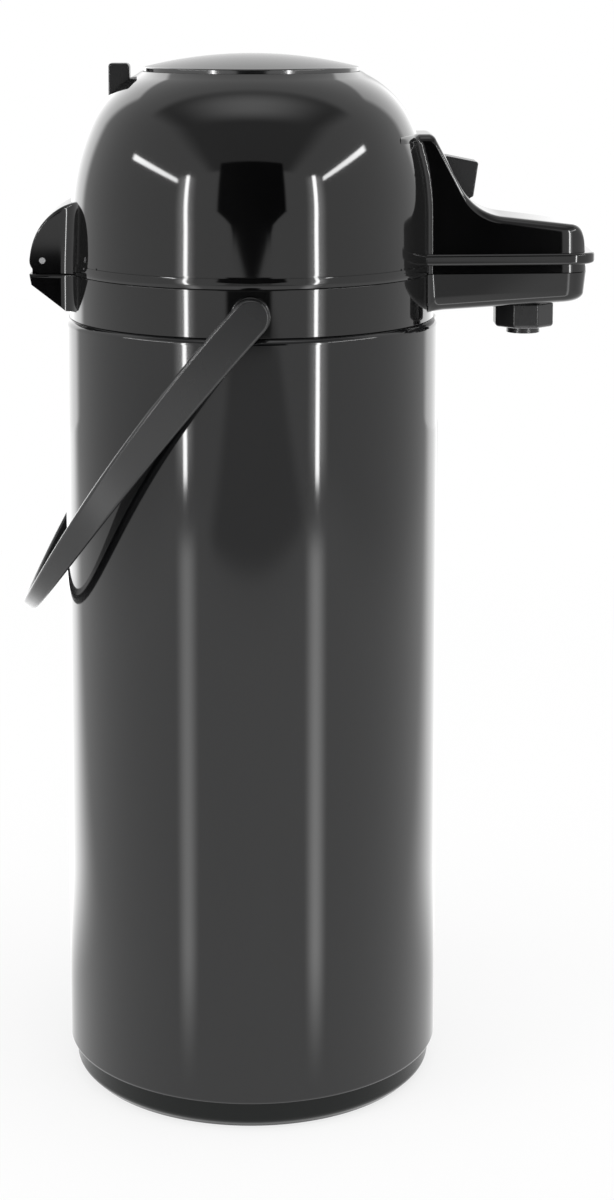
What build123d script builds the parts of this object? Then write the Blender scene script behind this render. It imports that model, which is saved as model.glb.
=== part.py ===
"""Push-button airpot: a vacuum flask in a steel shell, with a hinged pump lid, a spout and a bail handle.

Millimetres, +Z up. The origin is the middle of the flat underside, on the axis of the body.
The spout points to +X and the lid hinge is at -X.
"""
import os
from math import cos, degrees, pi, radians, sin, sqrt, tan

from build123d import *

# Clearances
SEAT = 0.1            # between pieces of one body that are fitted together
APART = 0.3           # between pieces that move against each other
RUNNING = 0.05        # radial, between a pin and its bore

# Steel shell
SHELL_R = 73.0
SHELL_WALL = 0.8
SHELL_TOP_Z = 300.4
SHELL_TOP_ROUND = 2.4
SHELL_FOOT_ROUND = 1.6
SHELL_HEM = 4.8       # width of the turned-in rims, from the outside of the shell
SHELL_IN_R = SHELL_R - SHELL_WALL
HEM_IN_R = SHELL_R - SHELL_HEM

# Base
BASE_REVEAL = 2.6     # how far the shell stands out past the base
BASE_H = 10.6
BASE_BEVEL = 3.0
BASE_WALL = 2.8
BASE_SPIGOT_H = 11.4
BASE_FLOOR = 14.7     # width of the base's underside round the cap
BASE_R = SHELL_R - BASE_REVEAL
BASE_FOOT_R = BASE_R - BASE_BEVEL
CAP_R = BASE_R - BASE_FLOOR
CAP_FLOOR = 3.0
CAP_WALL = 2.6
CAP_WALL_H = 9.0
CAP_GRIP_COUNT = 3
CAP_GRIP_IN = 21.7    # from the cap's edge to the middle of a grip
CAP_GRIP_WIDTH = 7.0
CAP_GRIP_DEPTH = 1.6
CAP_GRIP_ARC = 50.0   # degrees
CAP_GRIP_R = CAP_R - CAP_GRIP_IN

# Glass flask
FLASK_ROOM = 10.2     # between the shell and the flask
FLASK_BOTTOM_Z = 20.0
FLASK_LIP_DROP = 10.4
FLASK_NECK_H = 14.0
FLASK_MOUTH_R = 24.0
GLASS = 1.8
VACUUM = 3.4
FLASK_FOOT_ROUND = 18.0
NECK_ROUND = 4.0
SHOULDER_FLAT = 1.0
TIP_R = 4.0
TIP_H = 6.5
CUSHION_IN = 1.0      # from the edge of the flask's flat bottom
CUSHION_WIDTH = 13.0
CUSHION_BULGE = 2.0
CUSHION_FOOT_H = 6.0
FLASK_R = SHELL_IN_R - FLASK_ROOM
FLASK_LIP_Z = SHELL_TOP_Z - FLASK_LIP_DROP
FLASK_SHOULDER_Z = FLASK_LIP_Z - FLASK_NECK_H
FLASK_NECK_R = FLASK_MOUTH_R + 2 * GLASS + VACUUM
FLASK_SHOULDER_ROUND = FLASK_R - FLASK_NECK_R - NECK_ROUND - SHOULDER_FLAT
CUSHION_OUT_R = FLASK_R - FLASK_FOOT_ROUND - CUSHION_IN
CUSHION_IN_R = CUSHION_OUT_R - CUSHION_WIDTH

# Neck gasket
GASKET_H = 3.0
GASKET_SKIRT_H = 6.0
GASKET_WALL = 2.2

# Collar
COLLAR_REVEAL = 2.0   # how far the shell stands out past the collar
COLLAR_WALL = 2.8
COLLAR_H = 18.0
DECK_LIFT = 3.0
DECK = 2.4
THROAT_RIM = 12.0     # how much wider the throat is than the flask's mouth
THROAT_LEDGE = 11.0
SPIGOT_DROP = 8.4
COLLAR_R = SHELL_R - COLLAR_REVEAL
COLLAR_TOP_Z = SHELL_TOP_Z + COLLAR_H
DECK_TOP_Z = SHELL_TOP_Z + DECK_LIFT
THROAT_R = FLASK_MOUTH_R + THROAT_RIM
THROAT_BOTTOM_Z = FLASK_LIP_Z + GASKET_H
LEDGE_TOP_Z = THROAT_BOTTOM_Z + DECK

# Tube holder
HOLDER_WALL = 2.2
HOLDER_FLOOR = 2.0
HOLDER_DROP = 1.8     # below the collar's top
HOLDER_SPIGOT_GAP = 0.6
HOLDER_SPIGOT_DROP = 8.4
AIR_SLOT_IN_R = 8.6
AIR_SLOT_RIM = 1.6
HOLDER_SPOKE = 7.0
SOCKET_R = 6.6
SOCKET_DEPTH = 8.0
HOLDER_TOP_Z = COLLAR_TOP_Z - HOLDER_DROP
HOLDER_SPIGOT_R = FLASK_MOUTH_R - HOLDER_SPIGOT_GAP
AIR_SLOT_OUT_R = HOLDER_SPIGOT_R - HOLDER_WALL - AIR_SLOT_RIM

# Spout, out from the collar and up or down from its top
SPOUT_REACH = 58.8
SPOUT_ROOT_IN = 3.0
SPOUT_ROOT_HALF = 22.0
SPOUT_NOSE_HALF = 17.5
SPOUT_NOSE_ROUND = 10.0
SPOUT_FLARE = 11.0
SPOUT_WALL = 2.2
TROUGH_ROOT_DROP = 14.5
TROUGH_NOSE_DROP = 11.2
TROUGH_DRAFT = 5.0    # degrees
TROUGH_ROUND = 4.0
FLANGE_LIFT = 3.4
FLANGE_H = 4.4
FLANGE_BEAD = 1.4
FLANGE_LIP = 1.8      # beyond the bead, at the nose
COVER_FRONT_IN = 1.5
NECK_TOP_IN = 1.1
NECK_TOP_H = 53.2
NECK_TOP_ROUND = 3.0
SPOUT_FOOT_OUT = 14.9
SLOPE_H = 30.2        # from the neck's top down to the foot of its slope
SPOUT_FOOT_ROUND = 21.0
SPOUT_NOSE_H = 18.0
SPOUT_TOP_ROUND = 5.5
COVER_DRAFT = 6.5     # degrees
SPOUT_ROOT_X = COLLAR_R - SPOUT_ROOT_IN
SPOUT_FRONT_X = COLLAR_R + SPOUT_REACH
TROUGH_ROOT_Z = COLLAR_TOP_Z - TROUGH_ROOT_DROP
TROUGH_NOSE_Z = COLLAR_TOP_Z - TROUGH_NOSE_DROP
FLANGE_Z = COLLAR_TOP_Z + FLANGE_LIFT
COVER_FRONT_X = SPOUT_FRONT_X - COVER_FRONT_IN
NECK_TOP_X = COLLAR_R - NECK_TOP_IN
NECK_TOP_Z = COLLAR_TOP_Z + NECK_TOP_H
SPOUT_FOOT_X = COLLAR_R + SPOUT_FOOT_OUT
SPOUT_FOOT_Z = NECK_TOP_Z - SLOPE_H
SPOUT_NOSE_TOP_Z = COLLAR_TOP_Z + SPOUT_NOSE_H

# Tubes
TUBE_R = 4.0
TUBE_BORE_R = 2.8
TUBE_FOOT_GAP = 4.0
TUBE_SLANT = 35.0     # degrees
PIPE_LIFT = 8.8       # above the deck
JOINT_R = 5.2
JOINT_LENGTH = 12.0
JOINT_GAP = 2.4
NOZZLE_BACK = 23.5    # behind the spout's front
NOZZLE_TUBE_R = 6.5
NOZZLE_BORE_R = 4.6
NOZZLE_TUBE_DROP = 10.4
NOZZLE_CAP_R = 12.2
NOZZLE_CAP_DROP = 7.9
NOZZLE_CAP_SIDES = 8
PIPE_Z = DECK_TOP_Z + PIPE_LIFT
JOINT_START_X = THROAT_R + JOINT_GAP
NOZZLE_X = SPOUT_FRONT_X - NOZZLE_BACK
NOZZLE_TUBE_Z = TROUGH_ROOT_Z - NOZZLE_TUBE_DROP
NOZZLE_CAP_Z = TROUGH_ROOT_Z - NOZZLE_CAP_DROP

# Push button
BUTTON_IN = 29.4      # how much smaller than the collar
BUTTON_STAND = 1.4    # edge above the dome's rim
BUTTON_CROWN = 5.2
BUTTON_WALL = 2.2
BUTTON_SKIRT_DROP = 19.7
BUTTON_EDGE_ROUND = 0.8
BUTTON_RIB_COUNT = 6
BUTTON_RIB = 1.8
BUTTON_RIB_LIFT = 8.0
BUTTON_POST_R = 7.0
BUTTON_R = COLLAR_R - BUTTON_IN

# Lid shell
LID_WALL = 2.4
LIP_STAND = 0.5
LIP_H = 3.9
DOME_H = 77.3
DOME_WAIST_IN = 0.7
DOME_WAIST_H = 23.6
DOME_SHOULDER_IN = 9.0
DOME_SHOULDER_DROP = 19.4
DOME_CROWN_OUT = 3.1  # beyond the button
DOME_CROWN_DROP = 1.6
BUTTON_GAP = 0.7
LID_BOTTOM_Z = COLLAR_TOP_Z + APART
LIP_R = COLLAR_R + LIP_STAND
LIP_TOP_Z = COLLAR_TOP_Z + LIP_H
DOME_RIM_Z = COLLAR_TOP_Z + DOME_H
DOME_WAIST = (COLLAR_R - DOME_WAIST_IN, COLLAR_TOP_Z + DOME_WAIST_H)
DOME_SHOULDER = (COLLAR_R - DOME_SHOULDER_IN, DOME_RIM_Z - DOME_SHOULDER_DROP)
DOME_CROWN = (BUTTON_R + DOME_CROWN_OUT, DOME_RIM_Z - DOME_CROWN_DROP)
BUTTON_EDGE_Z = DOME_RIM_Z + BUTTON_STAND
BUTTON_TOP_Z = BUTTON_EDGE_Z + BUTTON_CROWN
BUTTON_SKIRT_Z = DOME_RIM_Z - BUTTON_SKIRT_DROP

# Hinge
HINGE_OUT = 9.0
HINGE_LIFT = 5.2
HINGE_PIN_R = 1.2
HINGE_PIN_SHORT = 0.2
KNUCKLE_HALF = 13.5
HOUSING_HALF = 20.0
HOUSING_FLARE = 7.0
HOUSING_APEX_IN = 1.9
HOUSING_H = 22.1
HOUSING_PASS = 1.8    # room above the knuckle for the lid to swing past it
WEDGE_CORNER_OUT = 4.2
WEDGE_CORNER_DROP = 4.1
WEDGE_ROOT_OUT = 0.2
WEDGE_ROOT_DROP = 14.2
HINGE_X = -(COLLAR_R + HINGE_OUT)
HINGE_Z = COLLAR_TOP_Z + HINGE_LIFT
KNUCKLE_R = HINGE_Z - LID_BOTTOM_Z
HOUSING_APEX = (HOUSING_APEX_IN - COLLAR_R, HINGE_Z + HOUSING_H)
WEDGE_CORNER = (HINGE_X - WEDGE_CORNER_OUT, COLLAR_TOP_Z - WEDGE_CORNER_DROP)
WEDGE_ROOT = (-COLLAR_R - WEDGE_ROOT_OUT, COLLAR_TOP_Z - WEDGE_ROOT_DROP)

# Lid inside
LID_BASE_LIFT = 3.0
LID_BASE = 2.4
BELLOWS_SEAT_WALL = 2.0
BELLOWS_SEAT_H = 4.0
PORT_R = 7.5
INNER_LID_RIM = 3.0   # beyond the throat
INNER_LID = 2.4
LID_GASKET_RIM = 1.2
LID_GASKET_WIDTH = 5.4
VALVE_R = 8.0
VALVE = 1.0
VALVE_STEM_R = 1.4
VALVE_PORT_R = 1.5
VALVE_PORT_PCD_R = 4.6
VALVE_PORT_COUNT = 4
SCREW_R = 1.5
SCREW_HEAD_R = 3.0
SCREW_HEAD = 1.8
SCREW_LENGTH = 12.0
SCREW_COUNT = 4
POST_IN = 5.8         # in from the collar's outside
POST_R = 3.6
POST_H = 20.0
LID_BASE_Z = COLLAR_TOP_Z + LID_BASE_LIFT
LID_FLOOR_Z = LID_BASE_Z + LID_BASE
INNER_LID_R = THROAT_R + INNER_LID_RIM
LID_GASKET_R = THROAT_R + LID_GASKET_RIM
POST_PCD_R = COLLAR_R - POST_IN

# Pump
PLATE_IN = 5.6        # how much smaller than the button
PLATE = 2.4
PLATE_DROP = 23.7
PLATE_LIP_H = 3.0
PLATE_LIP = 1.6
SLEEVE_WALL = 1.6
SLEEVE_TOP_DROP = 4.1
SLEEVE_LEDGE_DROP = 15.2
SLEEVE_LEDGE = 2.2
SLEEVE_LEDGE_OUT = 3.5
BELLOWS_IN = 2.0
BELLOWS_FOLD = 6.0
BELLOWS_WALL = 1.0
BELLOWS_FOLDS = 6
SPRING_R = 15.0
SPRING_WIRE_R = 0.9
SPRING_TURNS = 6
PLATE_R = BUTTON_R - PLATE_IN
PLATE_Z = DOME_RIM_Z - PLATE_DROP
BELLOWS_R = PLATE_R - BELLOWS_IN
GUIDE_R = BUTTON_R + APART
SLEEVE_R = GUIDE_R + SLEEVE_WALL
SLEEVE_TOP_Z = DOME_RIM_Z - SLEEVE_TOP_DROP
SLEEVE_LEDGE_Z = DOME_RIM_Z - SLEEVE_LEDGE_DROP
SLEEVE_LEDGE_R = SLEEVE_R + SLEEVE_LEDGE_OUT

# Lock ring
LOCK_WIDTH = 6.5      # from the sleeve to the ring's outside
LOCK_H = 3.0
LOCK_TAB = 8.1
LOCK_TAB_OVERLAP = 2.9
LOCK_TAB_HALF = 4.6
LOCK_TAB_STAND = 2.8  # above the dome's rim
LOCK_TAB_ROUND = 1.0
LOCK_TURN = 20.0      # degrees
LOCK_WINDOW_IN_GAP = 2.2
LOCK_WINDOW_OUT_GAP = 2.7
LOCK_WINDOW_MARGIN = 4.0   # degrees beyond the tab at each end
LOCK_R = SLEEVE_R + LOCK_WIDTH
LOCK_Z = SLEEVE_LEDGE_Z + SLEEVE_LEDGE + APART
LOCK_TAB_IN = LOCK_R - LOCK_TAB_OVERLAP
LOCK_TAB_OUT = LOCK_TAB_IN + LOCK_TAB
LOCK_TAB_TOP_Z = DOME_RIM_Z + LOCK_TAB_STAND
LOCK_WINDOW_IN = LOCK_TAB_IN - LOCK_WINDOW_IN_GAP
LOCK_WINDOW_OUT = LOCK_TAB_OUT + LOCK_WINDOW_OUT_GAP

# Latch, its thumb drawn from the pin as (out, up)
LATCH_OUT = 4.2
LATCH_DROP = 21.6     # pin below the neck's top
LATCH_PIN_R = 1.2
LATCH_HUB_R = 2.9
LATCH_HUB_HALF = 13.2
LATCH_THUMB_HALF = 7.0
LATCH_LEG_IN = 10.2
LATCH_LEG_BACK = 0.6
LATCH_LEG = 2.0
LATCH_HOOK_DROP = 7.0
LATCH_HOOK_H = 2.2
LATCH_LUG = 2.4
LATCH_NECK_R = 1.85
LATCH_NOSE = 1.2
LATCH_RECESS_BACK = 3.6
THUMB = ((-0.4, 13.0), (12.6, 10.4), (10.7, -2.8), (8.5, -4.0), (0, -LATCH_HUB_R), (-1.2, 4.0))
THUMB_ROOM = 5.0      # how far the recess for the thumb goes below the pin
CATCH_H = 2.6
LATCH_SPRING_R = 2.5
LATCH_SPRING_WIRE_R = 0.3
LATCH_SPRING_TURNS = 2
LATCH_X = COLLAR_R + LATCH_OUT
LATCH_Z = NECK_TOP_Z - LATCH_DROP
LATCH_LEG_X = LATCH_X - LATCH_LEG_BACK
LATCH_HOOK_Z = COLLAR_TOP_Z - LATCH_HOOK_DROP
LATCH_RECESS_X = LATCH_X - LATCH_RECESS_BACK
CATCH_Z = LATCH_HOOK_Z + LATCH_HOOK_H + APART

# Handle
HANDLE_DROP = 9.8     # pivot below the collar's top
HANDLE_REACH = 150.0
HANDLE_HANG = 54.5    # degrees below horizontal at rest
STRAP = 4.6
STRAP_EYE_R = 7.0
STRAP_MID_TOP = 10.2
STRAP_MID_BOTTOM = -1.8
STRAP_END_HALF = 2.5
STUD_R = 5.0
STUD_DEPTH = 10.4     # in from the collar's outside
STUD_BARB = 0.6
STUD_BARB_LENGTH = 1.1
BOSS_R = 8.2
PAD_R = 7.4
PAD_STAND = 2.7
HANDLE_Z = COLLAR_TOP_Z - HANDLE_DROP
PAD_END_Y = COLLAR_R + PAD_STAND
HANDLE_HALF = PAD_END_Y + APART + STRAP / 2
STUD_END_Y = COLLAR_R - STUD_DEPTH
BARB_ROOM_Y = STUD_END_Y + STUD_BARB_LENGTH + APART


def lathe(points, rounds=()):
    """Turn a closed outline of (radius, height) points about Z; rounds are (point, fillet radius)."""
    face = make_face(Polyline(*points, close=True))
    for point, radius in rounds:
        corner = face.vertices().sort_by_distance((point[0], point[1], 0))[0]
        face = fillet(corner, radius)
    return revolve(Plane.XZ * face, Axis.Z)


def tube(outer, inner, low, high):
    """A straight upright tube."""
    return lathe([(inner, low), (outer, low), (outer, high), (inner, high)])


def rod(radius, start, end):
    """A round bar between two points."""
    start, end = Vector(*start), Vector(*end)
    run = end - start
    return extrude(Plane(start, z_dir=run) * Circle(radius), run.length)


def side_slab(face, half):
    """Extrude a side outline, drawn as (x, z), to both sides of the middle plane."""
    return extrude(Plane.XZ * face, half, both=True)


def block(low, high):
    """A box between two opposite corners."""
    size = [b - a for a, b in zip(low, high)]
    middle = [(a + b) / 2 for a, b in zip(low, high)]
    return Pos(*middle) * Box(*size)


def spiral(radius, wire, turns, low, high):
    """A coil as one unbroken wire on tangent quarter arcs; prints the least gap between turns."""
    steps = 4 * turns
    rise = (high - low - 2 * wire) / steps

    def spot(i):
        angle = i * pi / 2
        return Vector(radius * cos(angle), radius * sin(angle), low + wire + i * rise)

    heading = Vector(0, radius * pi / 2, rise)
    arcs = []
    for i in range(steps):
        arc = TangentArc(spot(i), spot(i + 1), tangent=heading)
        heading = arc % 1
        arcs.append(arc)
    path = Wire(arcs)
    print(f"coil of radius {radius}: gap between turns {4 * rise - 2 * wire:.2f} mm")
    return sweep(Plane(path @ 0, z_dir=path % 0) * Circle(wire), path=path)


def flare(start, end, radius, bend):
    """Fill the corners between the round body and a spout or housing with hollow arcs.

    Start and end are the ends of the side at +Y, with X away from the body.
    """
    start, end = Vector(*start), Vector(*end)
    run = (end - start).normalized()
    normal = Vector(-run.Y, run.X)
    base = start + normal * bend
    along = base.dot(run)
    centre = base + run * (sqrt(along ** 2 - base.dot(base) + (radius + bend) ** 2) - along)
    touch = centre * (radius / (radius + bend))
    corner = make_face(Polyline((0, 0), touch, centre, centre - normal * bend, close=True))
    patch = corner - Pos(centre.X, centre.Y) * Circle(bend)
    return patch + mirror(patch, about=Plane.XZ)


def spout_plan(grow=0.0):
    """The spout's outline seen from above, out from the middle of the body."""
    half, nose, front = SPOUT_ROOT_HALF + grow, SPOUT_NOSE_HALF + grow, SPOUT_FRONT_X + grow
    face = make_face(Polyline((0, -half), (SPOUT_ROOT_X, -half), (front, -nose),
                              (front, nose), (SPOUT_ROOT_X, half), (0, half), close=True))
    for side in (-nose, nose):
        corner = face.vertices().sort_by_distance((front, side, 0))[0]
        face = fillet(corner, SPOUT_NOSE_ROUND + grow)
    return face


def flared_spout_plan(inset=0.0):
    """The spout's outline joined to the round body with a hollow flare on each side."""
    side = (SPOUT_ROOT_X, SPOUT_ROOT_HALF - inset), (SPOUT_FRONT_X - inset, SPOUT_NOSE_HALF - inset)
    return Circle(COLLAR_R) + spout_plan(-inset) + flare(*side, COLLAR_R, SPOUT_FLARE + inset)


def housing_plan():
    """The hinge housing's outline seen from above, joined to the round body with hollow flares."""
    reach = 1.5 * COLLAR_R
    side = (0, HOUSING_HALF), (reach, HOUSING_HALF)
    straight = Pos(reach / 2, 0) * Rectangle(reach, 2 * HOUSING_HALF)
    return Rot(0, 0, 180) * (straight + flare(*side, COLLAR_R, HOUSING_FLARE))


def spout_side(inset=0.0):
    """The upper spout's outline seen from the side, with its top moved in by the inset."""
    slope = Vector(SPOUT_FOOT_X - NECK_TOP_X, SPOUT_FOOT_Z - NECK_TOP_Z).normalized()
    top = Vector(COVER_FRONT_X - SPOUT_FOOT_X, SPOUT_NOSE_TOP_Z - SPOUT_FOOT_Z).normalized()
    shift = inset * tan(radians(slope.get_angle(Vector(1, 0)) / 2))
    neck = (NECK_TOP_X - shift, NECK_TOP_Z - inset)
    foot_turn = inset * tan(radians(slope.get_angle(top) / 2))
    foot = Vector(SPOUT_FOOT_X, SPOUT_FOOT_Z) + Vector(slope.Y, -slope.X) * inset - slope * foot_turn
    front = COVER_FRONT_X - inset
    nose_z = foot.Y + (front - foot.X) * top.Y / top.X
    points = [(0, LID_BOTTOM_Z), (0, neck[1]), neck, (foot.X, foot.Y), (front, nose_z),
              (front, FLANGE_Z), (SPOUT_FRONT_X, FLANGE_Z), (SPOUT_FRONT_X, LID_BOTTOM_Z)]
    face = make_face(Polyline(*points, close=True))
    rounds = ((neck, NECK_TOP_ROUND - inset), ((foot.X, foot.Y), SPOUT_FOOT_ROUND + inset),
              ((front, nose_z), SPOUT_TOP_ROUND - inset))
    for point, radius in rounds:
        corner = face.vertices().sort_by_distance((point[0], point[1], 0))[0]
        face = fillet(corner, radius)
    return face


def spout_cover_block(inset=0.0):
    """The upper spout as a closed form, smaller all round by the inset."""
    plan = Pos(0, 0, LID_BOTTOM_Z) * spout_plan(-inset)
    drafted = extrude(plan, NECK_TOP_Z - LID_BOTTOM_Z, taper=COVER_DRAFT)
    return drafted & side_slab(spout_side(inset), SHELL_R)


def dome_half(inset=0.0):
    """The lid's dome as a turned solid down to the lip, with its surface moved in by the inset."""
    side = Line((COLLAR_R, LIP_TOP_Z), DOME_WAIST)
    waist = TangentArc(side @ 1, DOME_SHOULDER, tangent=side % 1)
    crown = TangentArc(waist @ 1, DOME_CROWN, tangent=waist % 1)

    def inner(point, heading):
        return point - Vector(heading.Y, -heading.X) * inset

    a = inner(side @ 1, side % 1)
    b = inner(waist @ 1, waist % 1)
    c = inner(crown @ 1, crown % 1)
    hole = BUTTON_R + BUTTON_GAP
    rim_z = DOME_RIM_Z - inset
    edges = [TangentArc(a, b, tangent=side % 1)]
    edges.append(TangentArc(b, c, tangent=waist % 1))
    edges.append(Polyline(c, (hole, rim_z), (hole, rim_z - 1), (0, rim_z - 1), (0, LID_BOTTOM_Z),
                          (COLLAR_R - inset, LID_BOTTOM_Z), (COLLAR_R - inset, LIP_TOP_Z), a))
    return revolve(Plane.XZ * make_face(edges), Axis.Z)


def outer_shell():
    """Steel tube with both rims turned in."""
    top, foot = SHELL_TOP_Z, BASE_H
    outside = [(HEM_IN_R, foot), (SHELL_R, foot), (SHELL_R, top), (HEM_IN_R, top)]
    inside = [(HEM_IN_R, foot + SHELL_WALL), (SHELL_IN_R, foot + SHELL_WALL),
              (SHELL_IN_R, top - SHELL_WALL), (HEM_IN_R, top - SHELL_WALL)]
    points = outside + inside[::-1]
    rounds = ((outside[1], SHELL_FOOT_ROUND), (outside[2], SHELL_TOP_ROUND),
              (inside[1], SHELL_FOOT_ROUND - SHELL_WALL), (inside[2], SHELL_TOP_ROUND - SHELL_WALL))
    return lathe(points, rounds)


def base_ring():
    """Moulded base with a spigot inside the shell and a wall round the bottom cap."""
    spigot_r = HEM_IN_R - SEAT
    cap_wall_r = CAP_R + SEAT
    points = [(cap_wall_r, 0), (BASE_FOOT_R, 0), (BASE_R, BASE_R - BASE_FOOT_R), (BASE_R, BASE_H),
              (spigot_r, BASE_H), (spigot_r, BASE_H + BASE_SPIGOT_H),
              (spigot_r - BASE_WALL, BASE_H + BASE_SPIGOT_H), (spigot_r - BASE_WALL, BASE_WALL),
              (cap_wall_r + BASE_WALL, BASE_WALL), (cap_wall_r + BASE_WALL, CAP_FLOOR + CAP_WALL_H),
              (cap_wall_r, CAP_FLOOR + CAP_WALL_H)]
    return lathe(points, (((BASE_R, BASE_R - BASE_FOOT_R), 3.0),))


def bottom_cap():
    """Screw-in cap that carries the flask, with finger grips in its flat underside."""
    wall_in = CAP_R - CAP_WALL
    cap = lathe([(0, 0), (CAP_R, 0), (CAP_R, CAP_FLOOR + CAP_WALL_H), (wall_in, CAP_FLOOR + CAP_WALL_H),
                 (wall_in, CAP_FLOOR), (0, CAP_FLOOR)])
    low, high = CAP_GRIP_R - CAP_GRIP_WIDTH / 2, CAP_GRIP_R + CAP_GRIP_WIDTH / 2
    groove = revolve(Plane.XZ * Pos((low + high) / 2, CAP_GRIP_DEPTH / 2)
                     * Rectangle(CAP_GRIP_WIDTH, CAP_GRIP_DEPTH), Axis.Z, CAP_GRIP_ARC)
    for i in range(CAP_GRIP_COUNT):
        cap -= Rot(0, 0, i * 360 / CAP_GRIP_COUNT) * groove
    return cap


def flask_cushion():
    """Rubber ring between the bottom cap and the flask."""
    foot_r = CUSHION_OUT_R + CUSHION_BULGE
    return lathe([(CUSHION_IN_R, CAP_FLOOR), (foot_r, CAP_FLOOR), (foot_r, CAP_FLOOR + CUSHION_FOOT_H),
                  (CUSHION_OUT_R, FLASK_BOTTOM_Z), (CUSHION_IN_R, FLASK_BOTTOM_Z)])


def flask_outline(inset, mouth_gap):
    """Half outline of the flask's form, moved in by the inset, from the axis up to the lip."""
    r, neck = FLASK_R - inset, FLASK_NECK_R - mouth_gap
    points = [(0, FLASK_BOTTOM_Z + inset), (r, FLASK_BOTTOM_Z + inset), (r, FLASK_SHOULDER_Z - inset),
              (neck, FLASK_SHOULDER_Z - inset)]
    rounds = [(points[1], FLASK_FOOT_ROUND - inset), (points[2], FLASK_SHOULDER_ROUND - inset),
              (points[3], NECK_ROUND + inset)]
    return points, rounds, neck


def flask_form(inset, mouth_gap, top):
    """The flask's form as a turned solid up to a level."""
    points, rounds, neck = flask_outline(inset, mouth_gap)
    return lathe(points + [(neck, top), (0, top)], rounds)


def glass_flask():
    """Double-walled glass flask with a closed vacuum space and a sealed tip below."""
    outside = flask_form(0, 0, FLASK_LIP_Z)
    jacket = flask_form(GLASS, GLASS, FLASK_LIP_Z - GLASS)
    inner_wall = flask_form(GLASS + VACUUM, GLASS + VACUUM, FLASK_LIP_Z)
    inside = flask_form(2 * GLASS + VACUUM, 2 * GLASS + VACUUM, FLASK_LIP_Z)
    tip = lathe([(0, FLASK_BOTTOM_Z - TIP_H), (TIP_R / 2, FLASK_BOTTOM_Z - TIP_H),
                 (TIP_R, FLASK_BOTTOM_Z), (0, FLASK_BOTTOM_Z)])
    return outside - (jacket - inner_wall) - inside + tip


def neck_gasket():
    """Silicone ring on the flask's lip, with a skirt round the neck."""
    neck = FLASK_NECK_R + SEAT
    return lathe([(FLASK_MOUTH_R + APART, FLASK_LIP_Z), (neck, FLASK_LIP_Z),
                  (neck, FLASK_LIP_Z - GASKET_SKIRT_H), (neck + GASKET_WALL, FLASK_LIP_Z - GASKET_SKIRT_H),
                  (neck + GASKET_WALL, THROAT_BOTTOM_Z), (FLASK_MOUTH_R + APART, THROAT_BOTTOM_Z)])


def trough_block(inset=0.0):
    """The lower spout as a closed form, smaller by the inset, with a slightly rising bottom."""
    top = COLLAR_TOP_Z
    depth = top - TROUGH_ROOT_Z
    body = extrude(Pos(0, 0, top) * flared_spout_plan(inset), -depth, taper=TROUGH_DRAFT)
    rise = degrees((TROUGH_NOSE_Z - TROUGH_ROOT_Z) / (SPOUT_FRONT_X - SPOUT_ROOT_X))
    floor = Pos(SPOUT_ROOT_X, 0, TROUGH_ROOT_Z + inset) * Rot(0, -rise, 0) * Pos(0, 0, -COLLAR_R)
    return body - floor * Box(4 * SPOUT_FRONT_X, 4 * COLLAR_R, 2 * COLLAR_R)


def hinge_wedge():
    """The collar's part of the hinge housing, a wedge below the parting line."""
    rear = HINGE_X - KNUCKLE_R
    side = make_face(Polyline((0, COLLAR_TOP_Z), (rear, COLLAR_TOP_Z), WEDGE_CORNER, WEDGE_ROOT,
                              (0, WEDGE_ROOT[1]), close=True))
    column = extrude(Pos(0, 0, SHELL_TOP_Z) * housing_plan(), COLLAR_TOP_Z - SHELL_TOP_Z)
    return column & side_slab(side, SHELL_R)


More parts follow.
